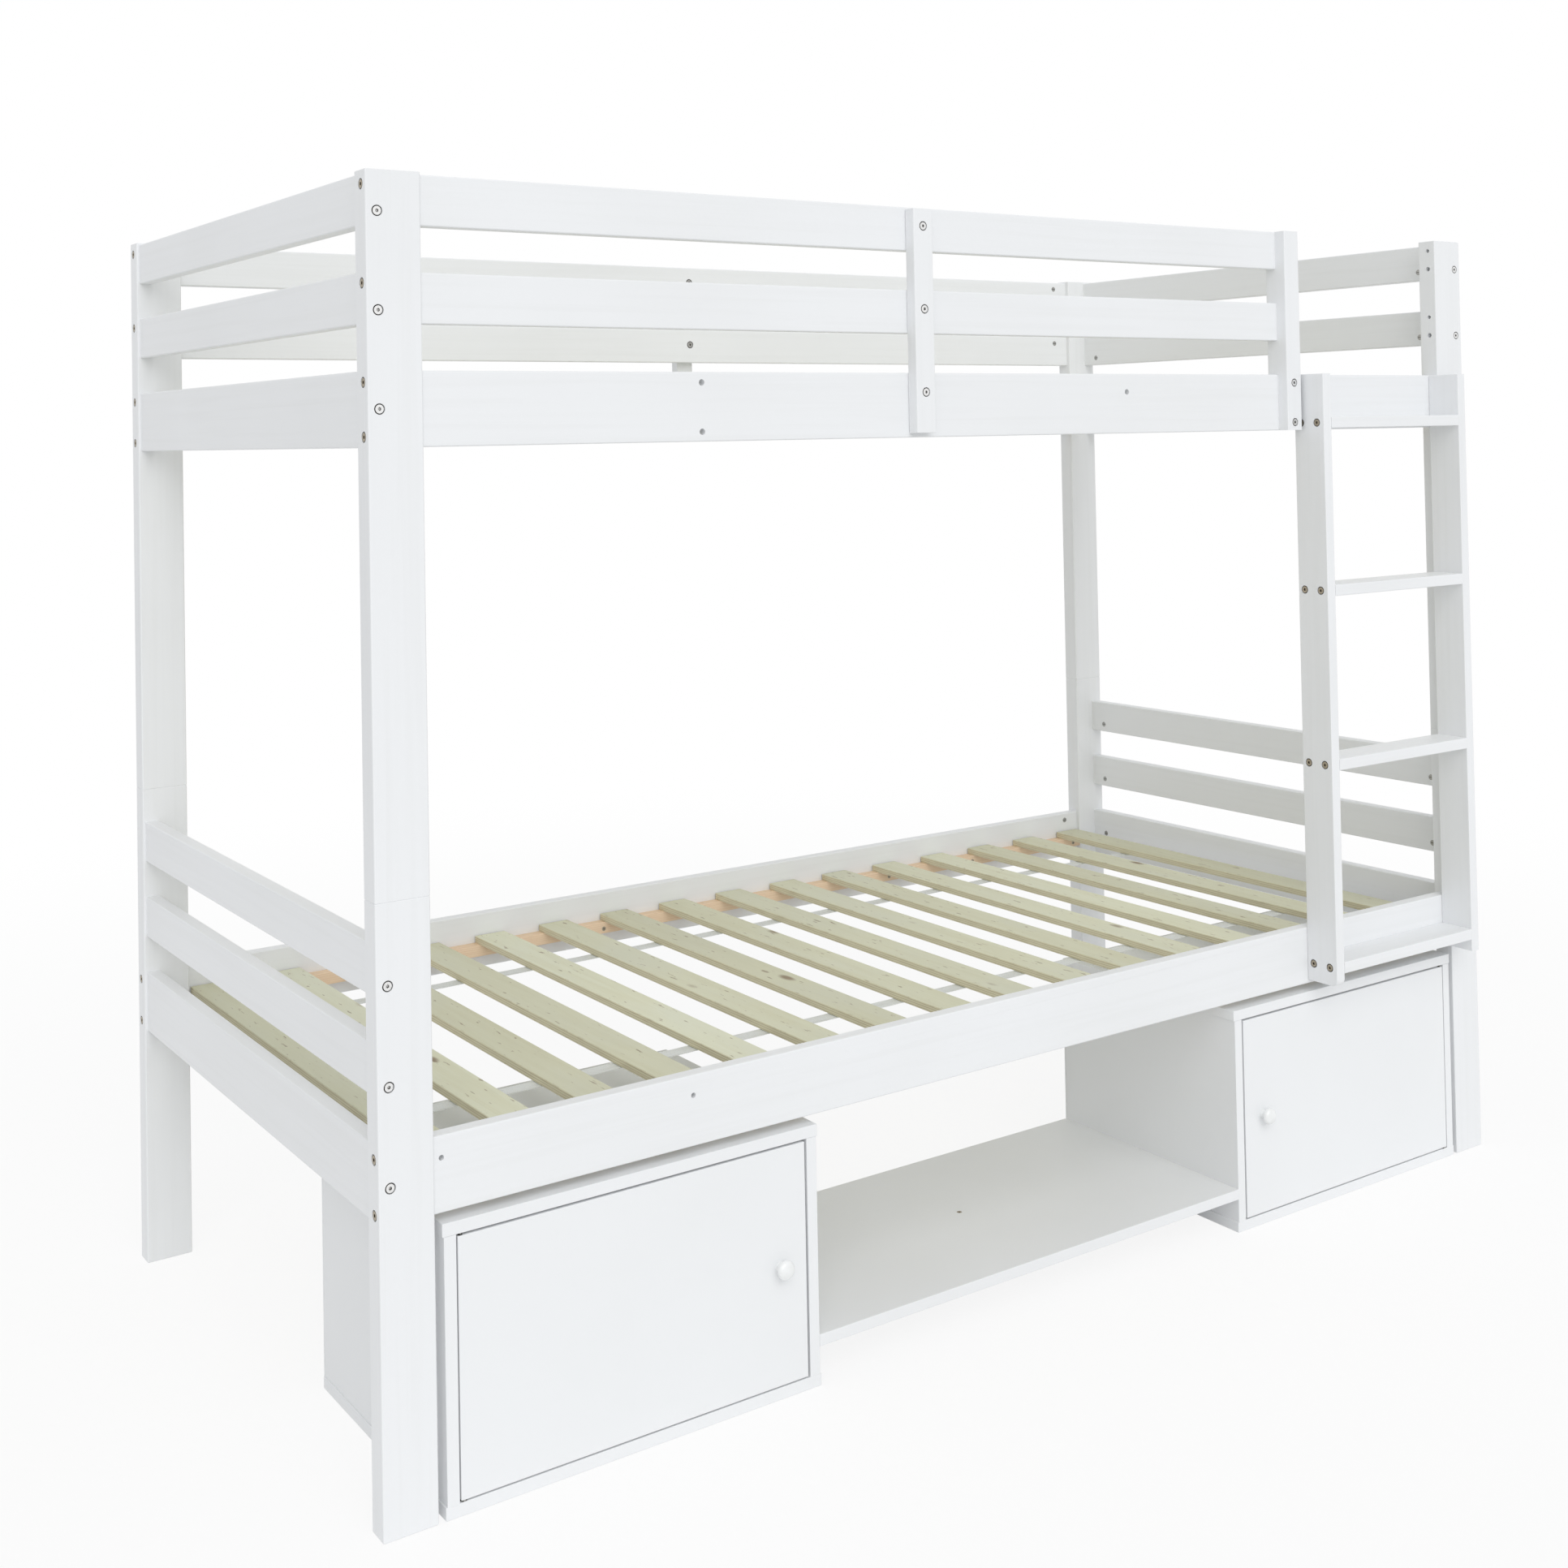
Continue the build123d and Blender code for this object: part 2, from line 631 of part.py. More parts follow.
def write_panel(name, x_limits, y_limits, z_limits, bores):
    """Write a board between its limits, with bores given as plane, radius and depth."""
    with BuildPart() as panel:
        with BuildSketch(Plane.XY.offset(z_limits[0])):
            with Locations((sum(x_limits) / 2, sum(y_limits) / 2)):
                Rectangle(abs(x_limits[1] - x_limits[0]), y_limits[1] - y_limits[0])
        extrude(amount=z_limits[1] - z_limits[0])
        fillet(panel.edges(), panel_edge_radius)
        for plane, radius, depth in bores:
            with Locations(plane):
                Hole(radius, depth)
    panel.part.label = name
    export_step(panel.part, f"parts/{name}.step")


# Cupboards, with the door hung on the side next to the post
y_case = (y_front, y_front + panel_depth)
for side, name in ((-1, "left"), (1, "right")):
    x_case = sorted((side * x_case_near, side * x_case_far))
    for board, z_limits, z_face, inward in (
        ("top", (z_roof, cupboard_height), z_roof, -1),
        ("bottom", (0, panel_thickness), panel_thickness, 1),
    ):
        bores = [
            (Plane(point, z_dir=(0, 0, inward)), dowel_bore, panel_dowel_depth + dowel_clearance)
            for point in panel_dowels(side, z_face)
        ]
        pivot = Plane((side * x_pivot, y_pivot, z_face), z_dir=(0, 0, inward))
        bores.append((pivot, bush_bore, pivot_board_depth + pivot_clearance))
        write_panel(f"{name}_cupboard_{board}", x_case, y_case, z_limits, bores)

    with BuildPart() as sides:
        with BuildSketch(Plane.XY.offset(panel_thickness)):
            with Locations(*[(side * x, y_front + panel_depth / 2) for x in side_middles]):
                RectangleRounded(panel_thickness, panel_depth, panel_edge_radius)
        extrude(amount=z_roof - panel_thickness)
        for z_edge, out in ((panel_thickness, -1), (z_roof, 1)):
            with Locations(*[Plane(point, z_dir=(0, 0, out)) for point in panel_dowels(side, z_edge)]):
                Hole(dowel_bore, dowel_side_depth + dowel_clearance)
        for y in panel_dowel_rows:
            with Locations(Plane((side * x_side_near, y, z_shelf), z_dir=(-side, 0, 0))):
                Hole(dowel_bore, panel_dowel_depth + dowel_clearance)
    sides.part.label = f"{name}_cupboard_sides"
    export_step(sides.part, f"parts/{name}_cupboard_sides.step")

    x_back = sorted((side * (x_case_near + back_margin), side * (x_case_far - back_margin)))
    with BuildPart() as back:
        with BuildSketch(Plane.XY.offset(back_margin)):
            with Locations((sum(x_back) / 2, y_case[1] + back_thickness / 2)):
                Rectangle(x_back[1] - x_back[0], back_thickness)
        extrude(amount=cupboard_height - 2 * back_margin)
    back.part.label = f"{name}_cupboard_back"
    export_step(back.part, f"parts/{name}_cupboard_back.step")

    x_door = sorted((side * x_door_hinge, side * x_door_free))
    with BuildPart() as door:
        with BuildSketch(Plane.XY.offset(z_door_bottom)):
            with Locations((sum(x_door) / 2, y_front + panel_thickness / 2)):
                Rectangle(x_door[1] - x_door[0], panel_thickness)
        extrude(amount=z_door_top - z_door_bottom)
        fillet(door.edges(), door_edge_radius)
        for z_edge, out in ((z_door_bottom, -1), (z_door_top, 1)):
            with Locations(Plane((side * x_pivot, y_pivot, z_edge), z_dir=(0, 0, out))):
                Hole(bush_radius + pivot_clearance, bush_length + pivot_clearance)
        with Locations(Plane((side * x_knob, y_front, z_door_middle), z_dir=(0, -1, 0))):
            Hole(screw_radius + screw_clearance, panel_thickness)
    door.part.label = f"{name}_door"
    export_step(door.part, f"parts/{name}_door.step")

    with BuildPart() as knob:
        with BuildSketch(Plane((side * x_knob, y_front, z_door_middle), x_dir=(1, 0, 0), z_dir=(0, 0, 1))):
            with BuildLine():
                Line((0, 0), (knob_foot_radius, 0))
                Spline(
                    (knob_foot_radius, 0),
                    (knob_neck_radius, -knob_rim_height / 2),
                    (knob_radius, -knob_rim_height),
                    tangents=((-0.5, -1), (1, -0.5)),
                )
                Spline(
                    (knob_radius, -knob_rim_height),
                    (knob_radius / 2, knob_crown - knob_reach),
                    (0, -knob_reach),
                    tangents=((0, -1), (-1, 0)),
                )
                Line((0, -knob_reach), (0, 0))
            make_face()
        revolve(axis=Axis((side * x_knob, y_front, z_door_middle), (0, 1, 0)))
        with Locations(Plane((side * x_knob, y_front, z_door_middle), z_dir=(0, 1, 0))):
            Hole(screw_radius + screw_clearance, knob_screw_grip + screw_clearance)
    knob.part.label = f"{name}_knob"
    export_step(knob.part, f"parts/{name}_knob.step")

    with BuildPart() as fittings:
        for z_edge, into in ((z_door_bottom, 1), (z_door_top, -1)):
            with BuildSketch(Plane((side * x_pivot, y_pivot, z_edge), x_dir=(1, 0, 0), z_dir=(0, 0, into))):
                Circle(bush_radius)
                Circle(bush_bore, mode=Mode.SUBTRACT)
            extrude(amount=bush_length)
        with BuildSketch(Plane((side * x_catch, y_door_back, z_strike), x_dir=(1, 0, 0), z_dir=(0, 1, 0))):
            RectangleRounded(strike_length, strike_height, strike_height / 4)
        extrude(amount=strike_thickness)
        knob_centre = Plane((side * x_knob, y_door_back, z_door_middle), x_dir=(1, 0, 0), z_dir=(0, 1, 0))
        with BuildSketch(knob_centre):
            Circle(screw_head_radius)
        extrude(amount=knob_screw_head)
        with BuildSketch(knob_centre):
            Circle(screw_radius)
        extrude(amount=-(panel_thickness + knob_screw_grip))
    fittings.part.label = f"{name}_door_fittings"
    export_step(fittings.part, f"parts/{name}_door_fittings.step")

# Fixed pivot pins above and below the doors; the lower ones carry the doors on a collar
with BuildPart() as door_pivots:
    for side in (-1, 1):
        for z_face, into, gap in ((panel_thickness, 1, door_bottom_gap), (z_roof, -1, door_top_gap)):
            foot = Plane((side * x_pivot, y_pivot, z_face), x_dir=(1, 0, 0), z_dir=(0, 0, into))
            with BuildSketch(foot.offset(-pivot_board_depth)):
                Circle(pivot_radius)
            extrude(amount=pivot_board_depth + gap + pivot_door_depth)
            if into > 0:
                with BuildSketch(foot):
                    Circle(collar_radius)
                extrude(amount=gap - collar_gap)
door_pivots.part.label = "door_pivots"
export_step(door_pivots.part, "parts/door_pivots.step")

# Magnetic catches under the cupboard tops
with BuildPart() as door_catches:
    with BuildSketch(Plane.XY.offset(z_roof - catch_height)):
        with Locations(*[(side * x_catch, y_catch + catch_depth / 2) for side in (-1, 1)]):
            RectangleRounded(catch_length, catch_depth, panel_edge_radius)
    extrude(amount=catch_height)
door_catches.part.label = "door_catches"
export_step(door_catches.part, "parts/door_catches.step")

# Shelf between the cupboards, on a foot that is screwed to its middle
shelf_centre = (0, y_front + cupboard_depth / 2)
with BuildPart() as middle_shelf:
    with BuildSketch(Plane.XY.offset(shelf_rise)):
        with Locations(shelf_centre):
            Rectangle(2 * x_side_near, cupboard_depth)
    extrude(amount=panel_thickness)
    fillet(middle_shelf.edges().filter_by(Axis.X), panel_edge_radius)
    for side in (-1, 1):
        for y in panel_dowel_rows:
            with Locations(Plane((side * x_side_near, y, z_shelf), z_dir=(side, 0, 0))):
                Hole(dowel_bore, dowel_side_depth + dowel_clearance)
    with Locations(Plane((*shelf_centre, shelf_rise + panel_thickness))):
        CounterSinkHole(screw_bore, screw_head_radius + screw_clearance, panel_thickness, countersink_angle)
middle_shelf.part.label = "middle_shelf"
export_step(middle_shelf.part, "parts/middle_shelf.step")

with BuildPart() as shelf_foot:
    with BuildSketch():
        with Locations(shelf_centre):
            Circle(foot_radius)
    extrude(amount=shelf_rise)
    chamfer(shelf_foot.edges().group_by(Axis.Z)[0], foot_chamfer)
    with Locations(Plane((*shelf_centre, shelf_rise))):
        Hole(screw_bore, screw_length - panel_thickness + screw_clearance)
shelf_foot.part.label = "shelf_foot"
export_step(shelf_foot.part, "parts/shelf_foot.step")

# Bolts along and across the bed, into barrel nuts
long_seats = [place for rail in (*wide_rails.values(), *back_guards.values())
              for place in end_places(rail, rail.bolts, -head_bore_depth, True)]
guard_ends = [end_places(rail, rail.bolts, -head_bore_depth, True) for rail in front_guards.values()]
long_seats += [places[0] for places in guard_ends]
shank_past_reach = nut_bolt_depth - head_bore_depth
write_group("long_bolts", [(make_bolt(post_width + shank_past_reach), long_seats)])

short_seats = [place for rail in end_rails for place in end_places(rail, rail.bolts, -head_bore_depth, True)]
write_group("short_bolts", [(make_bolt(post_depth + shank_past_reach), short_seats)])

# Bolts of the uprights: into the guard rails' ends, and through the rails into sleeve nuts
upright_points = [(rail, 0, guard_drop_narrow) for rail in (*front_guards.values(), *back_guards.values())]
upright_points += [(wide_rails["front", "upper"], x_guard, guard_drop_wide)]
upright_points += [(wide_rails["front", "upper"], x_opening, z) for z in opening_rows]
upright_points += [(wide_rails["back", "upper"], 0, guard_drop_wide)]
y_seat = head_bore_depth - upright_thickness
through_seats = [placed(rail.frame, (x, y_seat, z), (0, -1, 0)) for rail, x, z in upright_points]
sleeve_seats = []
for rail, x, z in upright_points:
    sleeve_seats += inner_places(rail, [(x, z)], head_bore_depth)
through_length = upright_thickness + rail_thickness - 2 * head_bore_depth - sleeve_length + sleeve_engagement
guard_seats = [places[1] for places in guard_ends]
ladder_points = [(x, ladder_bolt_rise) for x in x_stringers]
ladder_seats = []
for bunk_name, _ in bunks:
    ladder_seats += inner_places(wide_rails["front", bunk_name], ladder_points, head_bore_depth)
write_group("upright_bolts", [
    (make_bolt(through_length), through_seats),
    (make_bolt(upright_width + shank_past_reach), guard_seats),
    (make_bolt(rail_thickness - head_bore_depth + ladder_bolt_grip), ladder_seats),
])

# Bolts through the stringers into the ends of the treads
tread_seats = [
    Plane((x_mid + side * (stringer_thickness / 2 - head_bore_depth), y, z), z_dir=(side, 0, 0)).location
    for side, x_mid in zip((-1, 1), x_stringers)
    for y in tread_bolt_rows
    for z in tread_middles
]
write_group("tread_bolts", [(make_bolt(stringer_thickness - head_bore_depth + tread_bolt_grip), tread_seats)])

# Barrel nuts and sleeve nuts
all_rails = [*wide_rails.values(), *front_guards.values(), *back_guards.values(), *end_rails]
with BuildPart() as barrel_nut:
    with BuildSketch():
        Circle(nut_radius)
    extrude(amount=-nut_length)
    with BuildSketch(Plane((0, 0, -rail_thickness / 2), x_dir=(0, 1, 0), z_dir=(1, 0, 0))):
        Circle(thread_bore)
    extrude(amount=nut_radius, both=True, mode=Mode.SUBTRACT)
    with BuildSketch():
        Rectangle(2 * nut_radius, nut_slot_width)
    extrude(amount=-nut_slot_depth, mode=Mode.SUBTRACT)
with BuildPart() as sleeve_nut:
    with BuildSketch():
        Circle(head_radius)
    extrude(amount=head_thickness)
    chamfer(sleeve_nut.edges().group_by(Axis.Z)[-1], head_chamfer)
    with BuildSketch():
        Circle(sleeve_radius)
    extrude(amount=-sleeve_length)
    with BuildSketch(Plane.XY.offset(head_thickness)):
        RegularPolygon(socket_size / 2, 6, major_radius=False)
    extrude(amount=-socket_depth, mode=Mode.SUBTRACT)
    with BuildSketch(Plane.XY.offset(-sleeve_length)):
        Circle(thread_bore)
    extrude(amount=sleeve_length, mode=Mode.SUBTRACT)
write_group("frame_nuts", [
    (barrel_nut.part, [place for rail in all_rails for place in nut_places(rail)]),
    (sleeve_nut.part, sleeve_seats),
])

# Wooden dowels in the rails' ends, the cupboards and the shelf
rail_dowels = [place for rail in all_rails for place in end_places(rail, rail.dowels)]
panel_dowel_places = [
    Plane(point, z_dir=(0, 0, out)).location
    for side in (-1, 1)
    for z_face, out in ((panel_thickness, -1), (z_roof, 1))
    for point in panel_dowels(side, z_face)
]
panel_dowel_places += [
    Plane((side * x_side_near, y, z_shelf), z_dir=(side, 0, 0)).location
    for side in (-1, 1)
    for y in panel_dowel_rows
]
write_group("dowels", [
    (make_rod(dowel_radius, dowel_post_depth, dowel_length - dowel_post_depth), rail_dowels),
    (make_rod(dowel_radius, panel_dowel_depth, dowel_side_depth), panel_dowel_places),
])

# Steel pins that join the lower and the upper posts
pin_places = [
    Location((side * (x_post - post_width / 2 + offset), y, post_joint))
    for side in (-1, 1)
    for y in (y_front + post_depth / 2, y_back - post_depth / 2)
    for offset in (-pin_pitch / 2, pin_pitch / 2)
]
write_group("post_pins", [(make_rod(pin_radius, pin_length / 2, pin_length / 2), pin_places)])

# Wood screws through the ledgers, and the one in the shelf
screw_places = [Location((*shelf_centre, shelf_rise + panel_thickness))]
for rail in wide_rails.values():
    screw_places += inner_places(rail, screw_points(rail), -ledger_size)
write_group("wood_screws", [(make_screw(screw_length), screw_places)])
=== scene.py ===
"""Finishes, slat tapes and stage for a white bunk bed with a ladder and two cupboards.

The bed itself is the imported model. Everything here is in metres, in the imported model's frame.
"""

import math

import bmesh
import bpy
from mathutils import Matrix, Vector


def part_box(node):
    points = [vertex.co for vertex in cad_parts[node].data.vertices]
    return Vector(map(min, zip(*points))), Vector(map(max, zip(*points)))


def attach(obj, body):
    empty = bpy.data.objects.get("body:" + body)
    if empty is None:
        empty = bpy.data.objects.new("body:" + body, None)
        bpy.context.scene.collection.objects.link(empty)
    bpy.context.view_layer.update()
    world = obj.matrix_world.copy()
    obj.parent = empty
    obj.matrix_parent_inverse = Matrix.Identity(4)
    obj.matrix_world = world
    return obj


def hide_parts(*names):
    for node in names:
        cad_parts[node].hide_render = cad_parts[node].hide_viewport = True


bl_info = {
    "name": "Bunk Bed Finishes",
    "version": (1, 0, 0),
    "blender": (4, 5, 0),
    "location": "View3D > Sidebar > Bunk Bed",
    "description": "Paints a bunk bed, strings its slats on tapes and sets up a plain studio",
    "category": "Object",
}

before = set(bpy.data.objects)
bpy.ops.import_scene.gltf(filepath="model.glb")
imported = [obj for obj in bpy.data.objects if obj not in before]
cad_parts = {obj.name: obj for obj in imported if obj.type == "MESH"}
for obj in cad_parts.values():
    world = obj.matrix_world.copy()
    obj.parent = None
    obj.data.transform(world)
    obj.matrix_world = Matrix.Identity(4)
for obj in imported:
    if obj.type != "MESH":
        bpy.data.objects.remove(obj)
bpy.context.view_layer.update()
BED = "bed"
AXES = {"X": 0, "Y": 1, "Z": 2}
SEEING_RAYS = ("Camera", "Glossy", "Transmission")
BUNKS = ("lower", "upper")

SLAT_COUNT = 16
SLAT_WIDTH = 0.057
PLY_PITCH = 0.0034
RING_PITCH = 0.0042
TAPE_WIDTH = 0.025
TAPE_GAP = 0.0003
TAPE_RIBS = 8
TAPE_LANDING = 0.002
SAG_STEPS = 10
SELVEDGE_RISE = 0.00012
WIRE_SIDES = 8
FLOOR_REACH = 14.0
FLOOR_DROP = 0.0004


class Signal:
    """A socket that takes part in arithmetic, adding a Math node for each operation."""

    def __init__(self, recipe, socket):
        self.recipe = recipe
        self.socket = socket

    def math(self, operation, *values):
        """Combine values in one Math node."""
        inputs = dict(enumerate(values))
        return self.recipe.node("ShaderNodeMath", {"operation": operation}, inputs)

    def __add__(self, other):
        return self.math("ADD", self, other)

    __radd__ = __add__

    def __sub__(self, other):
        return self.math("SUBTRACT", self, other)

    def __rsub__(self, other):
        return self.math("SUBTRACT", other, self)

    def __mul__(self, other):
        return self.math("MULTIPLY", self, other)

    __rmul__ = __mul__

    def __truediv__(self, other):
        return self.math("DIVIDE", self, other)

    def __mod__(self, other):
        return self.math("FLOORED_MODULO", self, other)

    def __abs__(self):
        return self.math("ABSOLUTE", self)

    def floor(self):
        """Round down."""
        return self.math("FLOOR", self)

    def between(self, low, high):
        """Rise smoothly from 0 at low to 1 at high, or fall where low is the larger."""
        if low > high:
            return 1 - self.between(high, low)
        inputs = {"Value": self, "From Min": low, "From Max": high}
        return self.recipe.node("ShaderNodeMapRange", {"interpolation_type": "SMOOTHSTEP"}, inputs)


class Shading:
    """The node tree of a material or a world, written as expressions."""

    def __init__(self, owner, output):
        owner.use_nodes = True
        self.tree = owner.node_tree
        self.tree.nodes.clear()
        self.output = output

    def node(self, kind, settings=None, inputs=None, output=0):
        """Add a node: its settings first, then the values or links of its sockets."""
        made = self.tree.nodes.new(kind)
        for key, value in (settings or {}).items():
            setattr(made, key, value)
        for key, value in (inputs or {}).items():
            if isinstance(value, Signal):
                self.tree.links.new(value.socket, made.inputs[key])
            else:
                made.inputs[key].default_value = value
        return None if output is None else Signal(self, made.outputs[output])

    def seen(self):
        """1 for what the camera sees directly, in a reflection or through glass."""
        rays = [self.node("ShaderNodeLightPath", output=f"Is {ray} Ray") for ray in SEEING_RAYS]
        return sum(rays[1:], rays[0])

    def close(self, shader):
        """Link a shader to the output."""
        self.node(self.output, None, {"Surface": shader}, None)


class Recipe(Shading):
    """The node tree of one material."""

    def __init__(self, name):
        self.material = bpy.data.materials.new(name)
        super().__init__(self.material, "ShaderNodeOutputMaterial")
        self.place = self.node("ShaderNodeTexCoord", output="Object")
        self.facing = self.node("ShaderNodeTexCoord", output="Normal")

    def stretched(self, scale, offset=(0, 0, 0)):
        """Object coordinates moved by an offset and multiplied along each axis."""
        moved = self.node("ShaderNodeVectorMath", {"operation": "ADD"}, {0: self.place, 1: offset})
        return self.node("ShaderNodeVectorMath", {"operation": "MULTIPLY"}, {0: moved, 1: scale})

    def axis(self, vector, axis):
        """One component of a vector."""
        return self.node("ShaderNodeSeparateXYZ", None, {0: vector}, axis)

    def noise(self, scale, detail=3.0, roughness=0.5, distortion=0.0, offset=(0, 0, 0)):
        """Fractal noise with the given number of lumps per metre along each axis."""
        inputs = {
            "Vector": self.stretched(scale, offset),
            "Scale": 1.0,
            "Detail": detail,
            "Roughness": roughness,
            "Distortion": distortion,
        }
        return self.node("ShaderNodeTexNoise", None, inputs)

    def mix(self, first, second, factor):
        """Blend two colours."""
        inputs = {0: factor, 6: opaque(first), 7: opaque(second)}
        return self.node("ShaderNodeMix", {"data_type": "RGBA"}, inputs, 2)

    def tint(self, colour, shade, factor):
        """Multiply a colour by a shade, as far as the factor says."""
        inputs = {0: factor, 6: opaque(colour), 7: opaque(shade)}
        settings = {"data_type": "RGBA", "blend_type": "MULTIPLY"}
        return self.node("ShaderNodeMix", settings, inputs, 2)

    def edges(self, radius):
        """Mask of what lies within a radius of an edge."""
        worn = self.node("ShaderNodeBevel", {"samples": 4}, {"Radius": radius})
        flat = self.node("ShaderNodeNewGeometry", output="Normal")
        dot = self.node("ShaderNodeVectorMath", {"operation": "DOT_PRODUCT"}, {0: worn, 1: flat}, "Value")
        return (1 - dot).between(0.0, 0.25)

    def recess_shade(self, distance):
        """Mask of what lies inside a socket or a narrow recess, from ambient occlusion, for painted shade
        there.
        """
        open_share = self.node("ShaderNodeAmbientOcclusion", {"samples": 6}, {"Distance": distance}, "AO")
        return open_share.between(0.85, 0.45)

    def bump(self, height, distance, under=None):
        """Turn a height into a normal, on top of another one."""
        inputs = {"Height": height, "Distance": distance, "Strength": 1.0}
        if under:
            inputs["Normal"] = under
        return self.node("ShaderNodeBump", None, inputs)

    def surface(self, colour, roughness, normal, constants=None):
        """Finish the material with a Principled shader and return it."""
        inputs = {"Base Color": opaque(colour), "Roughness": roughness, "Normal": normal, **(constants or {})}
        self.close(self.node("ShaderNodeBsdfPrincipled", None, inputs))
        return self.material


def opaque(colour):
    """Give a plain colour the alpha that a colour socket wants."""
    return colour if isinstance(colour, Signal) else (*colour[:3], 1.0)


def along_axis(axis, along, across):
    """Scale for a texture that runs along one axis."""
    scale = [across] * 3
    scale[AXES[axis]] = along
    return tuple(scale)


def painted_wood(name, axis, finish):
    """White satin paint on planed softwood, whose grain shows through faintly along one axis."""
    recipe = Recipe(name)
    figure = recipe.noise(along_axis(axis, 2.2, 95.0), 4.0, 0.55, 0.4)
    pores = recipe.noise(along_axis(axis, 22.0, 900.0), 3.0, 0.6)
    cloud = recipe.noise((2.6, 2.6, 2.6), 2.0)
    peel = recipe.noise((1400.0, 1400.0, 1400.0), 1.0)
    scuffs = recipe.noise((38.0, 38.0, 38.0), 5.0, 0.7, 0.8).between(0.64, 0.78)
    edge = recipe.edges(0.0022)
    depth = figure.between(0.42, 0.7) * finish.grain_strength + cloud.between(0.3, 0.8) * 0.5
    colour = recipe.mix(finish.paint, finish.paint_shade, depth)
    colour = recipe.mix(colour, finish.scuff, scuffs * 0.10)
    colour = recipe.mix(colour, finish.edge_wear, edge * (0.35 + 0.65 * scuffs) * finish.wear_strength)
    roughness = finish.paint_roughness + 0.10 * cloud + 0.08 * pores
    normal = recipe.bump(figure + 0.4 * pores, 0.00010)
    normal = recipe.bump(peel, 0.000018, normal)
    return recipe.surface(colour, roughness, normal, {"Coat Weight": 0.06, "Coat Roughness": 0.3})


def painted_board(name, finish):
    """White satin lacquer rolled on smooth board."""
    recipe = Recipe(name)
    stipple = recipe.noise((520.0, 520.0, 520.0), 3.0, 0.55)
    cloud = recipe.noise((3.1, 3.1, 3.1), 3.0, 0.5, 0.0, (4.0, 2.0, 7.0))
    scuffs = recipe.noise((26.0, 26.0, 26.0), 6.0, 0.72, 1.1).between(0.64, 0.80)
    edge = recipe.edges(0.0016)
    colour = recipe.mix(finish.board, finish.paint_shade, cloud.between(0.25, 0.85) * 0.55)
    colour = recipe.mix(colour, finish.scuff, scuffs * 0.08)
    colour = recipe.mix(colour, finish.edge_wear, edge * (0.3 + 0.7 * scuffs) * finish.wear_strength)
    roughness = finish.paint_roughness + 0.12 * cloud + 0.05 * stipple
    normal = recipe.bump(stipple, 0.00003)
    return recipe.surface(colour, roughness, normal, {"Coat Weight": 0.05, "Coat Roughness": 0.25})


def slat_plywood(name, finish, pitch, first):
    """Raw plywood: veneer grain on the faces, brown and pale layers on the edges."""
    recipe = Recipe(name)
    x = recipe.axis(recipe.place, 0)
    z = recipe.axis(recipe.place, 2)
    number = ((x - first) / pitch + 0.5).floor() + z.floor()
    chance = recipe.node("ShaderNodeTexWhiteNoise", {"noise_dimensions": "1D"}, {"W": number})
    side = abs(recipe.axis(recipe.facing, 2)).between(0.9, 0.5)
    figure = recipe.noise((46.0, 2.6, 46.0), 5.0, 0.6, 0.9)
    fibre = recipe.noise((620.0, 16.0, 620.0), 3.0, 0.6)
    stain = recipe.noise((9.0, 3.4, 9.0), 3.0, 0.55, 0.0, (1.0, 5.0, 3.0))
    flecks = recipe.noise((190.0, 34.0, 190.0), 2.0, 0.5, 0.0, (3.0, 1.0, 0.0)).between(0.66, 0.74)
    cells = {"Vector": recipe.stretched((13.0, 5.5, 3.0)), "Scale": 1.0, "Randomness": 1.0}
    knot = recipe.node("ShaderNodeTexVoronoi", None, cells, "Distance")
    knots = (knot + 0.12 * figure).between(0.19, 0.09)
    ply = abs((z / PLY_PITCH) % 1.0 - 0.5) * 2
    layer = (ply + 0.25 * (fibre - 0.5)).between(0.66, 0.86)
    chips = recipe.noise((150.0, 48.0, 150.0), 3.0, 0.6, 0.0, (7.0, 2.0, 1.0)).between(0.575, 0.635)
    chips = chips * recipe.edges(0.0045)
    colour = recipe.mix(finish.veneer, finish.veneer_dark, figure.between(0.36, 0.72) * 0.75)
    colour = recipe.mix(colour, finish.veneer_grey, stain.between(0.42, 0.72) * 0.55)
    colour = recipe.tint(colour, (0.80, 0.78, 0.74), chance * 0.8)
    colour = recipe.mix(colour, finish.knot, flecks * 0.6)
    colour = recipe.mix(colour, finish.knot, knots * 0.8)
    edge = recipe.mix(finish.ply_pale, finish.ply_brown, layer * 0.7)
    edge = recipe.tint(edge, (0.80, 0.76, 0.70), fibre.between(0.45, 0.7) * 0.5)
    colour = recipe.mix(colour, edge, side)
    colour = recipe.mix(colour, finish.knot, chips * 0.75)
    roughness = 0.58 + 0.18 * fibre
    normal = recipe.bump(figure * 0.6 + fibre + flecks * 0.8, 0.00018)
    return recipe.surface(colour, roughness, normal)


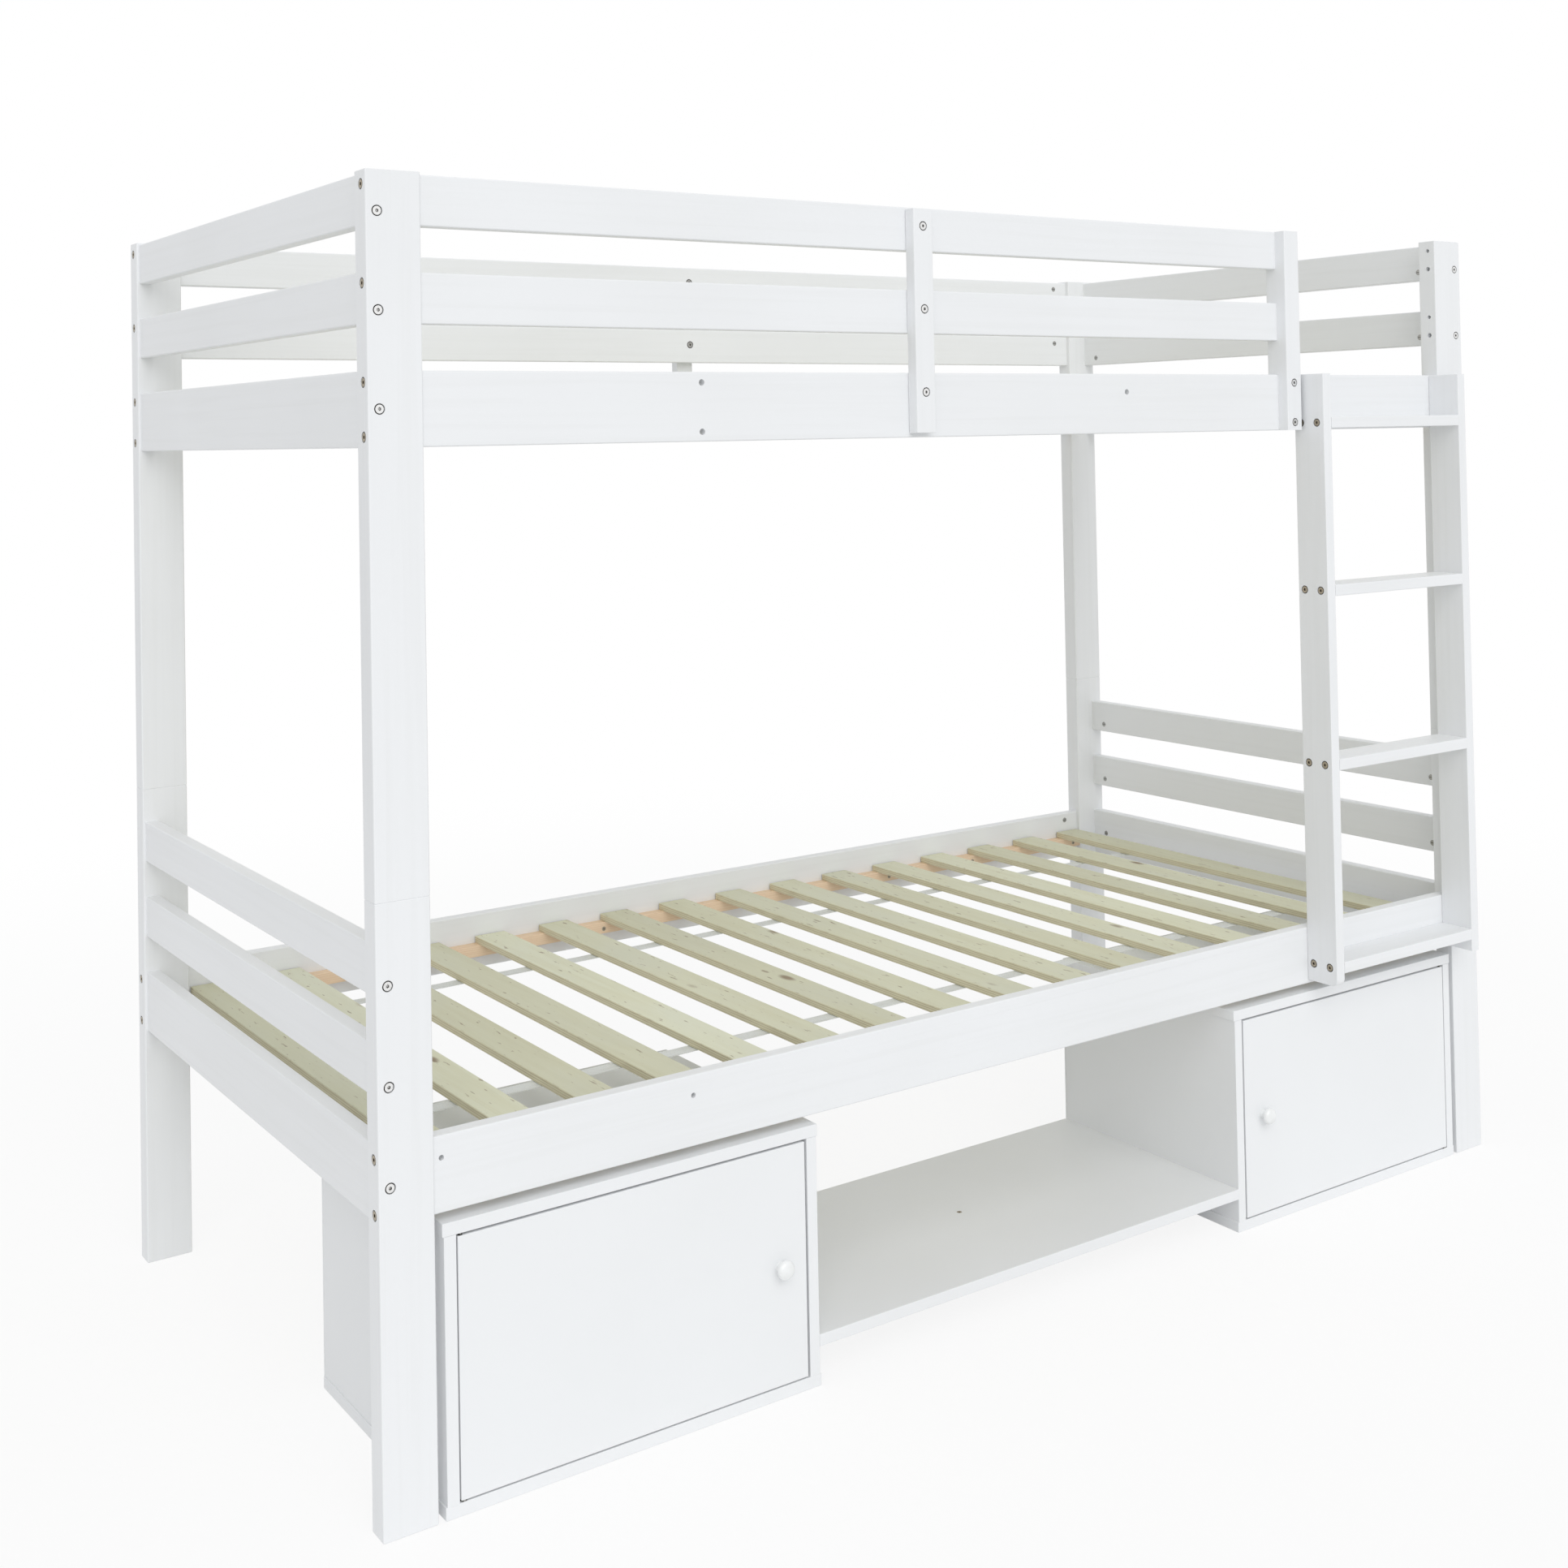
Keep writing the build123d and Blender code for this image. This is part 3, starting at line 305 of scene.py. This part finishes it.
def raw_pine(name, finish):
    """Planed pine with growth rings that run along the ledgers."""
    recipe = Recipe(name)
    warp = recipe.noise((1.6, 9.0, 9.0), 2.0, 0.5, 0.6)
    y = recipe.axis(recipe.place, 1)
    z = recipe.axis(recipe.place, 2)
    rings = abs(((y * 0.55 + z + 0.03 * warp) / RING_PITCH) % 1.0 - 0.5) * 2
    late = (rings * rings).between(0.45, 1.0)
    fibre = recipe.noise((18.0, 760.0, 760.0), 3.0, 0.6)
    blotch = recipe.noise((5.0, 12.0, 12.0), 3.0)
    cells = {"Vector": recipe.stretched((3.6, 9.0, 9.0), (0.3, 0.0, 0.0)), "Scale": 1.0}
    knot = recipe.node("ShaderNodeTexVoronoi", None, cells, "Distance").between(0.16, 0.07)
    colour = recipe.mix(finish.pine, finish.pine_late, late * (0.35 + 0.4 * blotch))
    colour = recipe.tint(colour, (0.90, 0.84, 0.78), fibre.between(0.4, 0.7) * 0.5)
    colour = recipe.mix(colour, finish.knot, knot * 0.7)
    normal = recipe.bump(fibre + late * 0.4, 0.00012)
    return recipe.surface(colour, 0.5 + 0.18 * fibre, normal)


def plated_steel(name, colour, dull, tarnish_and_shade):
    """Plated steel: bright on its flat faces, with dull spots, and painted shade on its chamfers and in its
    sockets.
    """
    recipe = Recipe(name)
    spots = recipe.noise((260.0, 260.0, 260.0), 4.0, 0.65).between(0.5, 0.75)
    brushed = recipe.noise((3200.0, 3200.0, 480.0), 2.0)
    # Faces that are not square to an axis, such as chamfers and the sides of heads and wires, get the dark
    # colour: painted shade.
    square = abs(recipe.axis(recipe.facing, 0))
    for axis in (1, 2):
        square = square.math("MAXIMUM", square, abs(recipe.axis(recipe.facing, axis)))
    chamfer_shade = square.between(0.97, 0.85)
    tone = recipe.mix(colour, tarnish_and_shade, spots * 0.22)
    tone = recipe.mix(tone, tarnish_and_shade, chamfer_shade)
    # Sockets and narrow recesses get the dark colour from ambient occlusion: painted shade.
    tone = recipe.mix(tone, tarnish_and_shade, recipe.recess_shade(0.003) * 0.85)
    roughness = dull + 0.14 * spots + 0.10 * brushed
    normal = recipe.bump(brushed, 0.000012)
    return recipe.surface(tone, roughness, normal, {"Metallic": 1.0})


def moulded_plastic(name, colour, roughness, peel_height, coat):
    """Moulded plastic with a faint orange peel and slight clouding."""
    recipe = Recipe(name)
    peel = recipe.noise((700.0, 700.0, 700.0), 2.0)
    cloud = recipe.noise((60.0, 60.0, 60.0), 3.0)
    tone = recipe.tint(colour, (0.93, 0.93, 0.92), cloud.between(0.35, 0.75))
    normal = recipe.bump(peel, peel_height)
    constants = {"Coat Weight": coat, "Coat Roughness": 0.08}
    return recipe.surface(tone, roughness + 0.06 * cloud, normal, constants)


def turned_beech(name, finish):
    """Raw beech with short dark rays, for the dowels."""
    recipe = Recipe(name)
    fibre = recipe.noise((420.0, 420.0, 420.0), 4.0, 0.6)
    rays = recipe.noise((240.0, 240.0, 240.0), 2.0).between(0.62, 0.70)
    colour = recipe.mix(finish.beech, finish.ply_brown, fibre.between(0.35, 0.75) * 0.5)
    colour = recipe.mix(colour, finish.knot, rays * 0.4)
    return recipe.surface(colour, 0.55 + 0.15 * fibre, recipe.bump(fibre, 0.00008))


def woven_ribbon(name, tapes):
    """Woven ribbon: fine threads across, a rib along each edge."""
    recipe = Recipe(name)
    x = recipe.axis(recipe.place, 0)
    y = recipe.axis(recipe.place, 1)
    weft = abs((x / tapes.thread_pitch) % 1.0 - 0.5) * 2
    shift = ((x / tapes.thread_pitch) % 2.0).between(0.9, 1.1) * 0.5
    warp = abs((y / tapes.thread_pitch + shift) % 1.0 - 0.5) * 2
    fuzz = recipe.noise((900.0, 900.0, 900.0), 4.0, 0.7)
    soil = recipe.noise((14.0, 60.0, 60.0), 3.0)
    thread = weft * 0.55 + warp * 0.45
    colour = recipe.mix(tapes.thread_shade, tapes.thread, thread.between(0.15, 0.75))
    colour = recipe.tint(colour, (0.86, 0.85, 0.82), soil.between(0.4, 0.75) * 0.6)
    normal = recipe.bump(thread + 0.3 * fuzz, 0.00022)
    return recipe.surface(colour, 0.82 + 0.1 * fuzz, normal, {"Sheen Weight": 0.2})


def coat_nodes(material, names):
    """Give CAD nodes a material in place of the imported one."""
    for name in names:
        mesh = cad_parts[name].data
        mesh.materials.clear()
        mesh.materials.append(material)


def named(*starts):
    """CAD nodes whose names begin with any of the given words."""
    found = sorted(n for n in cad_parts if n.startswith(starts))
    if not found:
        raise RuntimeError(f"the packed model has no piece that starts with {starts}")
    return found


def add_mesh(name, mesh, material, body):
    """Add a finished bmesh to the scene, riding on a body."""
    data = bpy.data.meshes.new(name)
    mesh.to_mesh(data)
    mesh.free()
    data.materials.append(material)
    piece = bpy.data.objects.new(name, data)
    bpy.context.scene.collection.objects.link(piece)
    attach(piece, body)
    return piece


def colour_property(name, description, default):
    """A colour that the user can change."""
    return bpy.props.FloatVectorProperty(
        name=name, description=description, subtype="COLOR", size=3, min=0.0, max=1.0, default=default
    )


def share_property(name, description, default):
    """A share from 0 to 1 that the user can change."""
    return bpy.props.FloatProperty(
        name=name, description=description, subtype="FACTOR", min=0.0, max=1.0, default=default
    )


def length_property(name, description, default):
    """A length in metres that the user can change."""
    return bpy.props.FloatProperty(
        name=name, description=description, unit="LENGTH", min=0.0, precision=4, default=default
    )


def angle_property(name, description, degrees):
    """An angle that the user can change."""
    return bpy.props.FloatProperty(
        name=name, description=description, unit="ROTATION", default=math.radians(degrees)
    )


class FinishSettings(bpy.types.PropertyGroup):
    """Colours and strengths of the bed's finishes."""

    paint: colour_property("Paint", "Satin paint on posts, rails and ladder", (0.850, 0.862, 0.878))
    board: colour_property("Board", "Satin lacquer on cupboards and shelf", (0.846, 0.858, 0.872))
    paint_shade: colour_property("Paint shade", "Thin paint over the grain", (0.800, 0.810, 0.818))
    scuff: colour_property("Scuffs", "Rubbed marks in the paint", (0.660, 0.660, 0.650))
    edge_wear: colour_property("Worn edges", "Edges where the paint is thin", (0.700, 0.690, 0.660))
    veneer: colour_property("Veneer", "Face of the plywood slats", (0.770, 0.775, 0.600))
    veneer_dark: colour_property("Veneer figure", "Darker figure in the slats", (0.715, 0.705, 0.515))
    veneer_grey: colour_property("Veneer stain", "Greyish areas of the slats", (0.750, 0.765, 0.640))
    ply_pale: colour_property("Pale layers", "Pale layers at the slats' edges", (0.700, 0.665, 0.475))
    ply_brown: colour_property("Brown layers", "Brown layers at the slats' edges", (0.430, 0.345, 0.210))
    knot: colour_property("Knots", "Knots and dark flecks in raw wood", (0.200, 0.120, 0.060))
    pine: colour_property("Pine", "Pale wood of the ledgers", (0.860, 0.665, 0.475))
    pine_late: colour_property("Pine rings", "Darker growth rings of the ledgers", (0.740, 0.490, 0.300))
    beech: colour_property("Beech", "Dowels", (0.640, 0.440, 0.270))
    # The bolts all have one plating. This bright copy goes on heads that face the front (painted light), and
    # the darker, browner copy below goes on heads that face the sides and on the screws (painted shade).
    lit_plating: colour_property("Nickel", "Bolts through the posts' and uprights' faces", (0.860, 0.860, 0.855))
    shaded_plating: colour_property("Bronze", "Bolts along the bed and in the ladder, screws", (0.400, 0.350, 0.270))
    steel: colour_property("Steel", "Nuts, pins and pivots", (0.420, 0.415, 0.400))
    # Dark colour for dull spots on the metal, also used as painted shade on its chamfers and in its sockets.
    tarnish_and_shade: colour_property("Tarnish", "Chamfers, sockets and dull spots", (0.045, 0.040, 0.034))
    plastic: colour_property("Knob plastic", "Glossy knobs", (0.860, 0.872, 0.876))
    catch: colour_property("Catch plastic", "Housings of the magnetic catches", (0.780, 0.780, 0.760))
    grain_strength: share_property("Grain", "How far the grain shows through the paint", 0.30)
    wear_strength: share_property("Wear", "How worn the painted edges look", 0.35)
    paint_roughness: share_property("Paint roughness", "Roughness of the satin paint", 0.36)


class TapeSettings(bpy.types.PropertyGroup):
    """Sizes and colours of the tapes that space the slats."""

    thickness: length_property("Thickness", "Thickness of a tape", 0.0008)
    sag: length_property("Sag", "How far a tape hangs between two slats", 0.0006)
    thread_pitch: length_property("Threads", "Distance from thread to thread", 0.0011)
    staple_width: length_property("Staple width", "Length of a staple's crown", 0.0105)
    staple_wire: length_property("Staple wire", "Thickness of a staple's wire", 0.0009)
    thread: colour_property("Thread", "Raised threads", (0.830, 0.850, 0.835))
    thread_shade: colour_property("Thread shade", "Gaps between the threads", (0.640, 0.660, 0.640))


class StageSettings(bpy.types.PropertyGroup):
    """Light, floor and camera."""

    floor: colour_property("Floor", "Plain pale floor", (0.900, 0.900, 0.900))
    backdrop: share_property("White floor", "How white the camera sees the floor near the bed", 0.86)
    ambient: bpy.props.FloatProperty(
        name="Ambient", description="Strength of the even light from all round", min=0.0, default=0.67
    )
    ambient_tint: colour_property("Ambient tint", "Colour of the even light", (0.985, 0.995, 1.000))
    key_strength: bpy.props.FloatProperty(
        name="Key light", description="Strength of the light from one direction", min=0.0, default=1.20
    )
    key_turn: angle_property("Key turn", "How far the key light comes from the right of the front", -18)
    key_rise: angle_property("Key rise", "How high the key light stands", 35)
    key_spread: angle_property("Key spread", "How wide and soft the key light is", 55)
    lens: bpy.props.FloatProperty(
        name="Lens", description="Focal length on a 36 mm sensor", unit="CAMERA", min=1.0, default=43.746
    )


class PieceOperator:
    """What the operators of this add-on share."""

    bl_options = {"REGISTER", "UNDO"}

    @property
    def finish(self):
        return bpy.context.scene.bunk_finish


class BUNK_OT_paint_frame(PieceOperator, bpy.types.Operator):
    """Paint the posts, rails and guard uprights"""

    bl_idname = "bunk_bed.paint_frame"
    bl_label = "Paint Frame"

    def execute(self, context):
        upright = painted_wood("paint_upright", "Z", self.finish)
        lengthwise = painted_wood("paint_lengthwise", "X", self.finish)
        crosswise = painted_wood("paint_crosswise", "Y", self.finish)
        coat_nodes(upright, named("post_front", "post_back", "guard_upright", "ladder_opening_upright"))
        coat_nodes(lengthwise, named("side_rail", "guard_rail"))
        coat_nodes(crosswise, named("end_rail", "end_guards"))
        return {"FINISHED"}


class BUNK_OT_paint_ladder(PieceOperator, bpy.types.Operator):
    """Paint the ladder's stringers and treads"""

    bl_idname = "bunk_bed.paint_ladder"
    bl_label = "Paint Ladder"

    def execute(self, context):
        coat_nodes(painted_wood("paint_stringers", "Z", self.finish), named("ladder_stringer"))
        coat_nodes(painted_wood("paint_treads", "X", self.finish), named("ladder_treads"))
        return {"FINISHED"}


class BUNK_OT_lacquer_cupboards(PieceOperator, bpy.types.Operator):
    """Lacquer the cupboards, their doors and the shelf between them"""

    bl_idname = "bunk_bed.lacquer_cupboards"
    bl_label = "Lacquer Cupboards"

    def execute(self, context):
        boards = named("left_cupboard", "right_cupboard", "middle_shelf", "shelf_foot")
        coat_nodes(painted_board("lacquer", self.finish), [*boards, "left_door", "right_door"])
        return {"FINISHED"}


class BUNK_OT_finish_slats(PieceOperator, bpy.types.Operator):
    """Give the slats their plywood"""

    bl_idname = "bunk_bed.finish_slats"
    bl_label = "Finish Slats"

    def execute(self, context):
        pitch, first = slat_rows()
        coat_nodes(slat_plywood("slat_plywood", self.finish, pitch, first), named("slats_"))
        return {"FINISHED"}


class BUNK_OT_finish_ledgers(PieceOperator, bpy.types.Operator):
    """Give the ledgers their pine"""

    bl_idname = "bunk_bed.finish_ledgers"
    bl_label = "Finish Ledgers"

    def execute(self, context):
        coat_nodes(raw_pine("raw_pine", self.finish), named("slat_ledgers"))
        return {"FINISHED"}


class BUNK_OT_finish_knobs(PieceOperator, bpy.types.Operator):
    """Give the knobs and the magnetic catches their plastics"""

    bl_idname = "bunk_bed.finish_knobs"
    bl_label = "Finish Knobs and Catches"

    def execute(self, context):
        glossy = moulded_plastic("glossy_plastic", self.finish.plastic, 0.2, 0.00001, 0.4)
        matt = moulded_plastic("matt_plastic", self.finish.catch, 0.55, 0.00004, 0.0)
        coat_nodes(glossy, named("left_knob", "right_knob"))
        coat_nodes(matt, named("door_catches"))
        return {"FINISHED"}


class BUNK_OT_plate_fixings(PieceOperator, bpy.types.Operator):
    """Plate the bolts, nuts, pins, pivots and screws, and give the dowels their beech"""

    bl_idname = "bunk_bed.plate_fixings"
    bl_label = "Plate Fixings"

    def execute(self, context):
        tarnish_and_shade = self.finish.tarnish_and_shade
        # Bright and dark copies of one plating: painted light on heads facing the front, painted shade on
        # heads facing the sides and on the screws.
        lit_plating = plated_steel("lit_plate", self.finish.lit_plating, 0.3, tarnish_and_shade)
        shaded_plating = plated_steel("shaded_plate", self.finish.shaded_plating, 0.34, tarnish_and_shade)
        steel = plated_steel("dull_steel", self.finish.steel, 0.38, tarnish_and_shade)
        coat_nodes(lit_plating, named("short_bolts", "upright_bolts"))
        coat_nodes(shaded_plating, named("long_bolts", "tread_bolts", "wood_screws"))
        coat_nodes(steel, named("frame_nuts", "post_pins", "door_pivots", "left_door_fit", "right_door_fit"))
        coat_nodes(turned_beech("turned_beech", self.finish), named("dowels"))
        return {"FINISHED"}


def slat_rows():
    """Pitch of the slats and the middle of the first one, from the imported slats."""
    low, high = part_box("slats_lower")
    pitch = (high.x - low.x - SLAT_WIDTH) / (SLAT_COUNT - 1)
    return pitch, low.x + SLAT_WIDTH / 2


def tape_places():
    """Yield the bunk, side, middle line, height of the top and ends of each tape."""
    low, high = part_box("slat_tapes")
    for bunk in BUNKS:
        z_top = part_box(f"slats_{bunk}")[0].z - TAPE_GAP
        for side, y in (("front", low.y + TAPE_WIDTH / 2), ("back", high.y - TAPE_WIDTH / 2)):
            yield bunk, side, y, z_top, low.x, high.x


def tape_stations(x_start, x_end):
    """Points along a tape, each with the share of the sag there: none under a slat, all of it mid-gap."""
    pitch, first = slat_rows()
    half = SLAT_WIDTH / 2
    stations = [(x_start, 0.0)]
    row = 0
    while first + row * pitch + half < x_end:
        gap_start = first + row * pitch + half
        gap_end = min(gap_start + pitch - 2 * half, x_end)
        if gap_start > x_start:
            stations.append((gap_start - TAPE_LANDING, 0.0))
        if gap_end - gap_start > half:
            for step in range(1, SAG_STEPS):
                share = step / SAG_STEPS
                stations.append((gap_start + share * (gap_end - gap_start), 4 * share * (1 - share)))
            stations.append((gap_end + TAPE_LANDING, 0.0))
        row += 1
    stations.append((x_end, 0.0))
    return [s for k, s in enumerate(stations) if k == 0 or s[0] > stations[k - 1][0] + 1e-5]


def skin_rings(mesh, rings):
    """Join rings of vertices into a closed tube."""
    count = len(rings[0])
    for before, after in zip(rings, rings[1:]):
        for k in range(count):
            mesh.faces.new((before[k], after[k], after[(k + 1) % count], before[(k + 1) % count]))
    mesh.faces.new(rings[0])
    mesh.faces.new(rings[-1][::-1])


def weave_tape(tapes, y_mid, z_top, stations):
    """Make a tape's mesh: a ribbon with thicker edges that sags between the slats."""
    mesh = bmesh.new()
    upper = (0.0, 1, range(TAPE_RIBS + 1))
    lower = (-tapes.thickness, -1, range(TAPE_RIBS, -1, -1))
    rings = []
    for x, share in stations:
        drop = tapes.sag * share
        ring = []
        for lift, outward, order in (upper, lower):
            for k in order:
                across = 2 * k / TAPE_RIBS - 1
                selvedge = outward * SELVEDGE_RISE * (abs(across) > 0.8)
                curl = drop * 0.25 * across * across
                z = z_top + lift - drop + curl + selvedge - SELVEDGE_RISE
                ring.append(mesh.verts.new((x, y_mid + across * TAPE_WIDTH / 2, z)))
        rings.append(ring)
    skin_rings(mesh, rings)
    bmesh.ops.recalc_face_normals(mesh, faces=mesh.faces)
    return mesh


class BUNK_OT_make_tapes(PieceOperator, bpy.types.Operator):
    """Weave the tapes that run under the slats and space them"""

    bl_idname = "bunk_bed.make_tapes"
    bl_label = "Make Tapes"

    def execute(self, context):
        tapes = context.scene.bunk_tapes
        ribbon = woven_ribbon("woven_ribbon", tapes)
        for bunk, side, y_mid, z_top, x_start, x_end in tape_places():
            mesh = weave_tape(tapes, y_mid, z_top, tape_stations(x_start, x_end))
            tape = add_mesh(f"tape_{bunk}_{side}", mesh, ribbon, BED)
            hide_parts("slat_tapes")
        return {"FINISHED"}


class BUNK_OT_drive_staples(PieceOperator, bpy.types.Operator):
    """Staple each tape to the underside of each slat"""

    bl_idname = "bunk_bed.drive_staples"
    bl_label = "Drive Staples"

    def execute(self, context):
        tapes = context.scene.bunk_tapes
        steel = plated_steel("staple_wire", self.finish.steel, 0.32, self.finish.tarnish_and_shade)
        pitch, first = slat_rows()
        for bunk in BUNKS:
            mesh = bmesh.new()
            for name, _, y_mid, z_top, x_start, x_end in tape_places():
                z = z_top - tapes.thickness - SELVEDGE_RISE
                for row in range(SLAT_COUNT):
                    x = first + row * pitch
                    if name == bunk and x_start < x < x_end:
                        add_staple(mesh, Vector((x, y_mid, z)), row, tapes)
            bmesh.ops.recalc_face_normals(mesh, faces=mesh.faces)
            add_mesh(f"tape_staples_{bunk}", mesh, steel, BED)
        return {"FINISHED"}


def add_staple(mesh, place, row, tapes):
    """Add a staple: a flattened wire crown with a leg bent up at each end, turned a little on each slat."""
    half, wire = tapes.staple_width / 2, tapes.staple_wire
    leg = wire * 1.3
    bend = wire * 0.9
    lean = math.radians(((row * 37) % 11) - 5)
    line = [(-half, leg), (-half, bend), (-half + bend * 0.3, bend * 0.3), (-half + bend, 0.0)]
    line += [(-y, z) for y, z in reversed(line)]
    turn = Matrix.Rotation(lean, 3, "Z")
    rings = []
    for index, (y, z) in enumerate(line):
        before = line[max(index - 1, 0)]
        after = line[min(index + 1, len(line) - 1)]
        run = Vector((0, after[0] - before[0], after[1] - before[1])).normalized()
        out = Vector((0, -run.z, run.y))
        ring = []
        for k in range(WIRE_SIDES):
            angle = math.tau * (k + 0.5) / WIRE_SIDES
            offset = Vector((math.cos(angle) * wire * 0.6, 0, 0)) + out * math.sin(angle) * wire * 0.3
            ring.append(mesh.verts.new(place + turn @ (Vector((0, y, z - wire * 0.3)) + offset)))
        rings.append(ring)
    skin_rings(mesh, rings)


class BUNK_OT_build_stage(PieceOperator, bpy.types.Operator):
    """Set up the floor, the light and the camera"""

    bl_idname = "bunk_bed.build_stage"
    bl_label = "Build Stage"

    def execute(self, context):
        stage = context.scene.bunk_stage
        add_floor(stage)
        light_world(context.scene, stage)
        add_key(stage)
        add_camera(context.scene, stage)
        context.scene.view_settings.view_transform = "Standard"
        return {"FINISHED"}


def add_floor(stage):
    """Add a pale floor that the camera sees as white further out, with the bed's shadow left on it."""
    mesh = bmesh.new()
    bmesh.ops.create_grid(mesh, x_segments=4, y_segments=4, size=FLOOR_REACH)
    data = bpy.data.meshes.new("floor")
    mesh.to_mesh(data)
    mesh.free()
    recipe = Recipe("pale_floor")
    grain = recipe.noise((40.0, 40.0, 40.0), 3.0)
    matt = recipe.node("ShaderNodeBsdfDiffuse", None, {"Color": recipe.tint(stage.floor, (0.97,) * 3, grain)})
    white = recipe.node("ShaderNodeEmission", None, {"Color": (1, 1, 1, 1), "Strength": 1.0})
    away = recipe.node("ShaderNodeVectorMath", {"operation": "LENGTH"}, {0: recipe.place}, "Value")
    plain = stage.backdrop + (1 - stage.backdrop) * away.between(1.4, 4.0)
    recipe.close(recipe.node("ShaderNodeMixShader", None, {0: recipe.seen() * plain, 1: matt, 2: white}))
    data.materials.append(recipe.material)
    floor = bpy.data.objects.new("floor", data)
    floor.location.z = -FLOOR_DROP
    bpy.context.scene.collection.objects.link(floor)


def light_world(scene, stage):
    """Light the bed evenly, and show the camera and reflections plain white."""
    scene.world = bpy.data.worlds.new("studio")
    sky = Shading(scene.world, "ShaderNodeOutputWorld")
    tint = (*stage.ambient_tint, 1.0)
    even = sky.node("ShaderNodeBackground", None, {"Color": tint, "Strength": stage.ambient})
    white = sky.node("ShaderNodeBackground", None, {"Color": (1, 1, 1, 1), "Strength": 1.0})
    sky.close(sky.node("ShaderNodeMixShader", None, {0: sky.seen(), 1: even, 2: white}))


def add_key(stage):
    """Add the soft light that comes from one direction, from the left of the bed's front."""
    turn, rise = stage.key_turn, stage.key_rise
    level = Vector((math.sin(turn), -math.cos(turn), 0)) * math.cos(rise)
    data = bpy.data.lights.new("key_light", "SUN")
    data.energy = stage.key_strength
    data.angle = stage.key_spread
    key = bpy.data.objects.new("key_light", data)
    key.rotation_mode = "QUATERNION"
    key.rotation_quaternion = (level + Vector((0, 0, math.sin(rise)))).to_track_quat("Z", "Y")
    bpy.context.scene.collection.objects.link(key)


def add_camera(scene, stage):
    """Add the camera at the photograph's viewing angle."""
    yaw, pitch, roll = 0.60168, 0.02077, -0.01832
    place = Vector((-1.90099, -2.59594, 1.28101))
    level = Vector((math.sin(yaw), math.cos(yaw), 0))
    aside = Vector((math.cos(yaw), -math.sin(yaw), 0))
    forward = level * math.cos(pitch) + Vector((0, 0, 1)) * math.sin(pitch)
    upward = Vector((0, 0, 1)) * math.cos(pitch) - level * math.sin(pitch)
    right = aside * math.cos(roll) + upward * math.sin(roll)
    above = upward * math.cos(roll) - aside * math.sin(roll)
    data = bpy.data.cameras.new("camera")
    data.sensor_width = 36.0
    data.lens = stage.lens
    data.shift_y = -0.24698
    data.clip_start, data.clip_end = 0.05, 100.0
    camera = bpy.data.objects.new("camera", data)
    turn = Matrix((right, above, -forward)).transposed()
    camera.matrix_world = Matrix.Translation(place) @ turn.to_4x4()
    scene.collection.objects.link(camera)
    scene.camera = camera


OPERATORS = (
    BUNK_OT_paint_frame,
    BUNK_OT_paint_ladder,
    BUNK_OT_lacquer_cupboards,
    BUNK_OT_finish_slats,
    BUNK_OT_finish_ledgers,
    BUNK_OT_finish_knobs,
    BUNK_OT_plate_fixings,
    BUNK_OT_make_tapes,
    BUNK_OT_drive_staples,
    BUNK_OT_build_stage,
)


class BUNK_PT_bed(bpy.types.Panel):
    """Lists the steps and settings of the bunk bed."""

    bl_idname = "BUNK_PT_bed"
    bl_label = "Bunk Bed"
    bl_space_type = "VIEW_3D"
    bl_region_type = "UI"
    bl_category = "Bunk Bed"

    def draw(self, context):
        layout = self.layout
        for operator in OPERATORS:
            layout.operator(operator.bl_idname)
        for group in (context.scene.bunk_finish, context.scene.bunk_tapes, context.scene.bunk_stage):
            box = layout.box()
            for name in group.bl_rna.properties.keys():
                if name not in ("rna_type", "name"):
                    box.prop(group, name)


SETTINGS = {"bunk_finish": FinishSettings, "bunk_tapes": TapeSettings, "bunk_stage": StageSettings}


def register():
    for made in (*SETTINGS.values(), *OPERATORS, BUNK_PT_bed):
        bpy.utils.register_class(made)
    for name, group in SETTINGS.items():
        setattr(bpy.types.Scene, name, bpy.props.PointerProperty(type=group))


def unregister():
    for name in SETTINGS:
        delattr(bpy.types.Scene, name)
    for made in (BUNK_PT_bed, *reversed(OPERATORS), *SETTINGS.values()):
        bpy.utils.unregister_class(made)


def main():
    """Register the add-on and finish the bed."""
    register()
    for operator in OPERATORS:
        group, _, step = operator.bl_idname.partition(".")
        getattr(getattr(bpy.ops, group), step)()


if __name__ == "__main__":
    main()
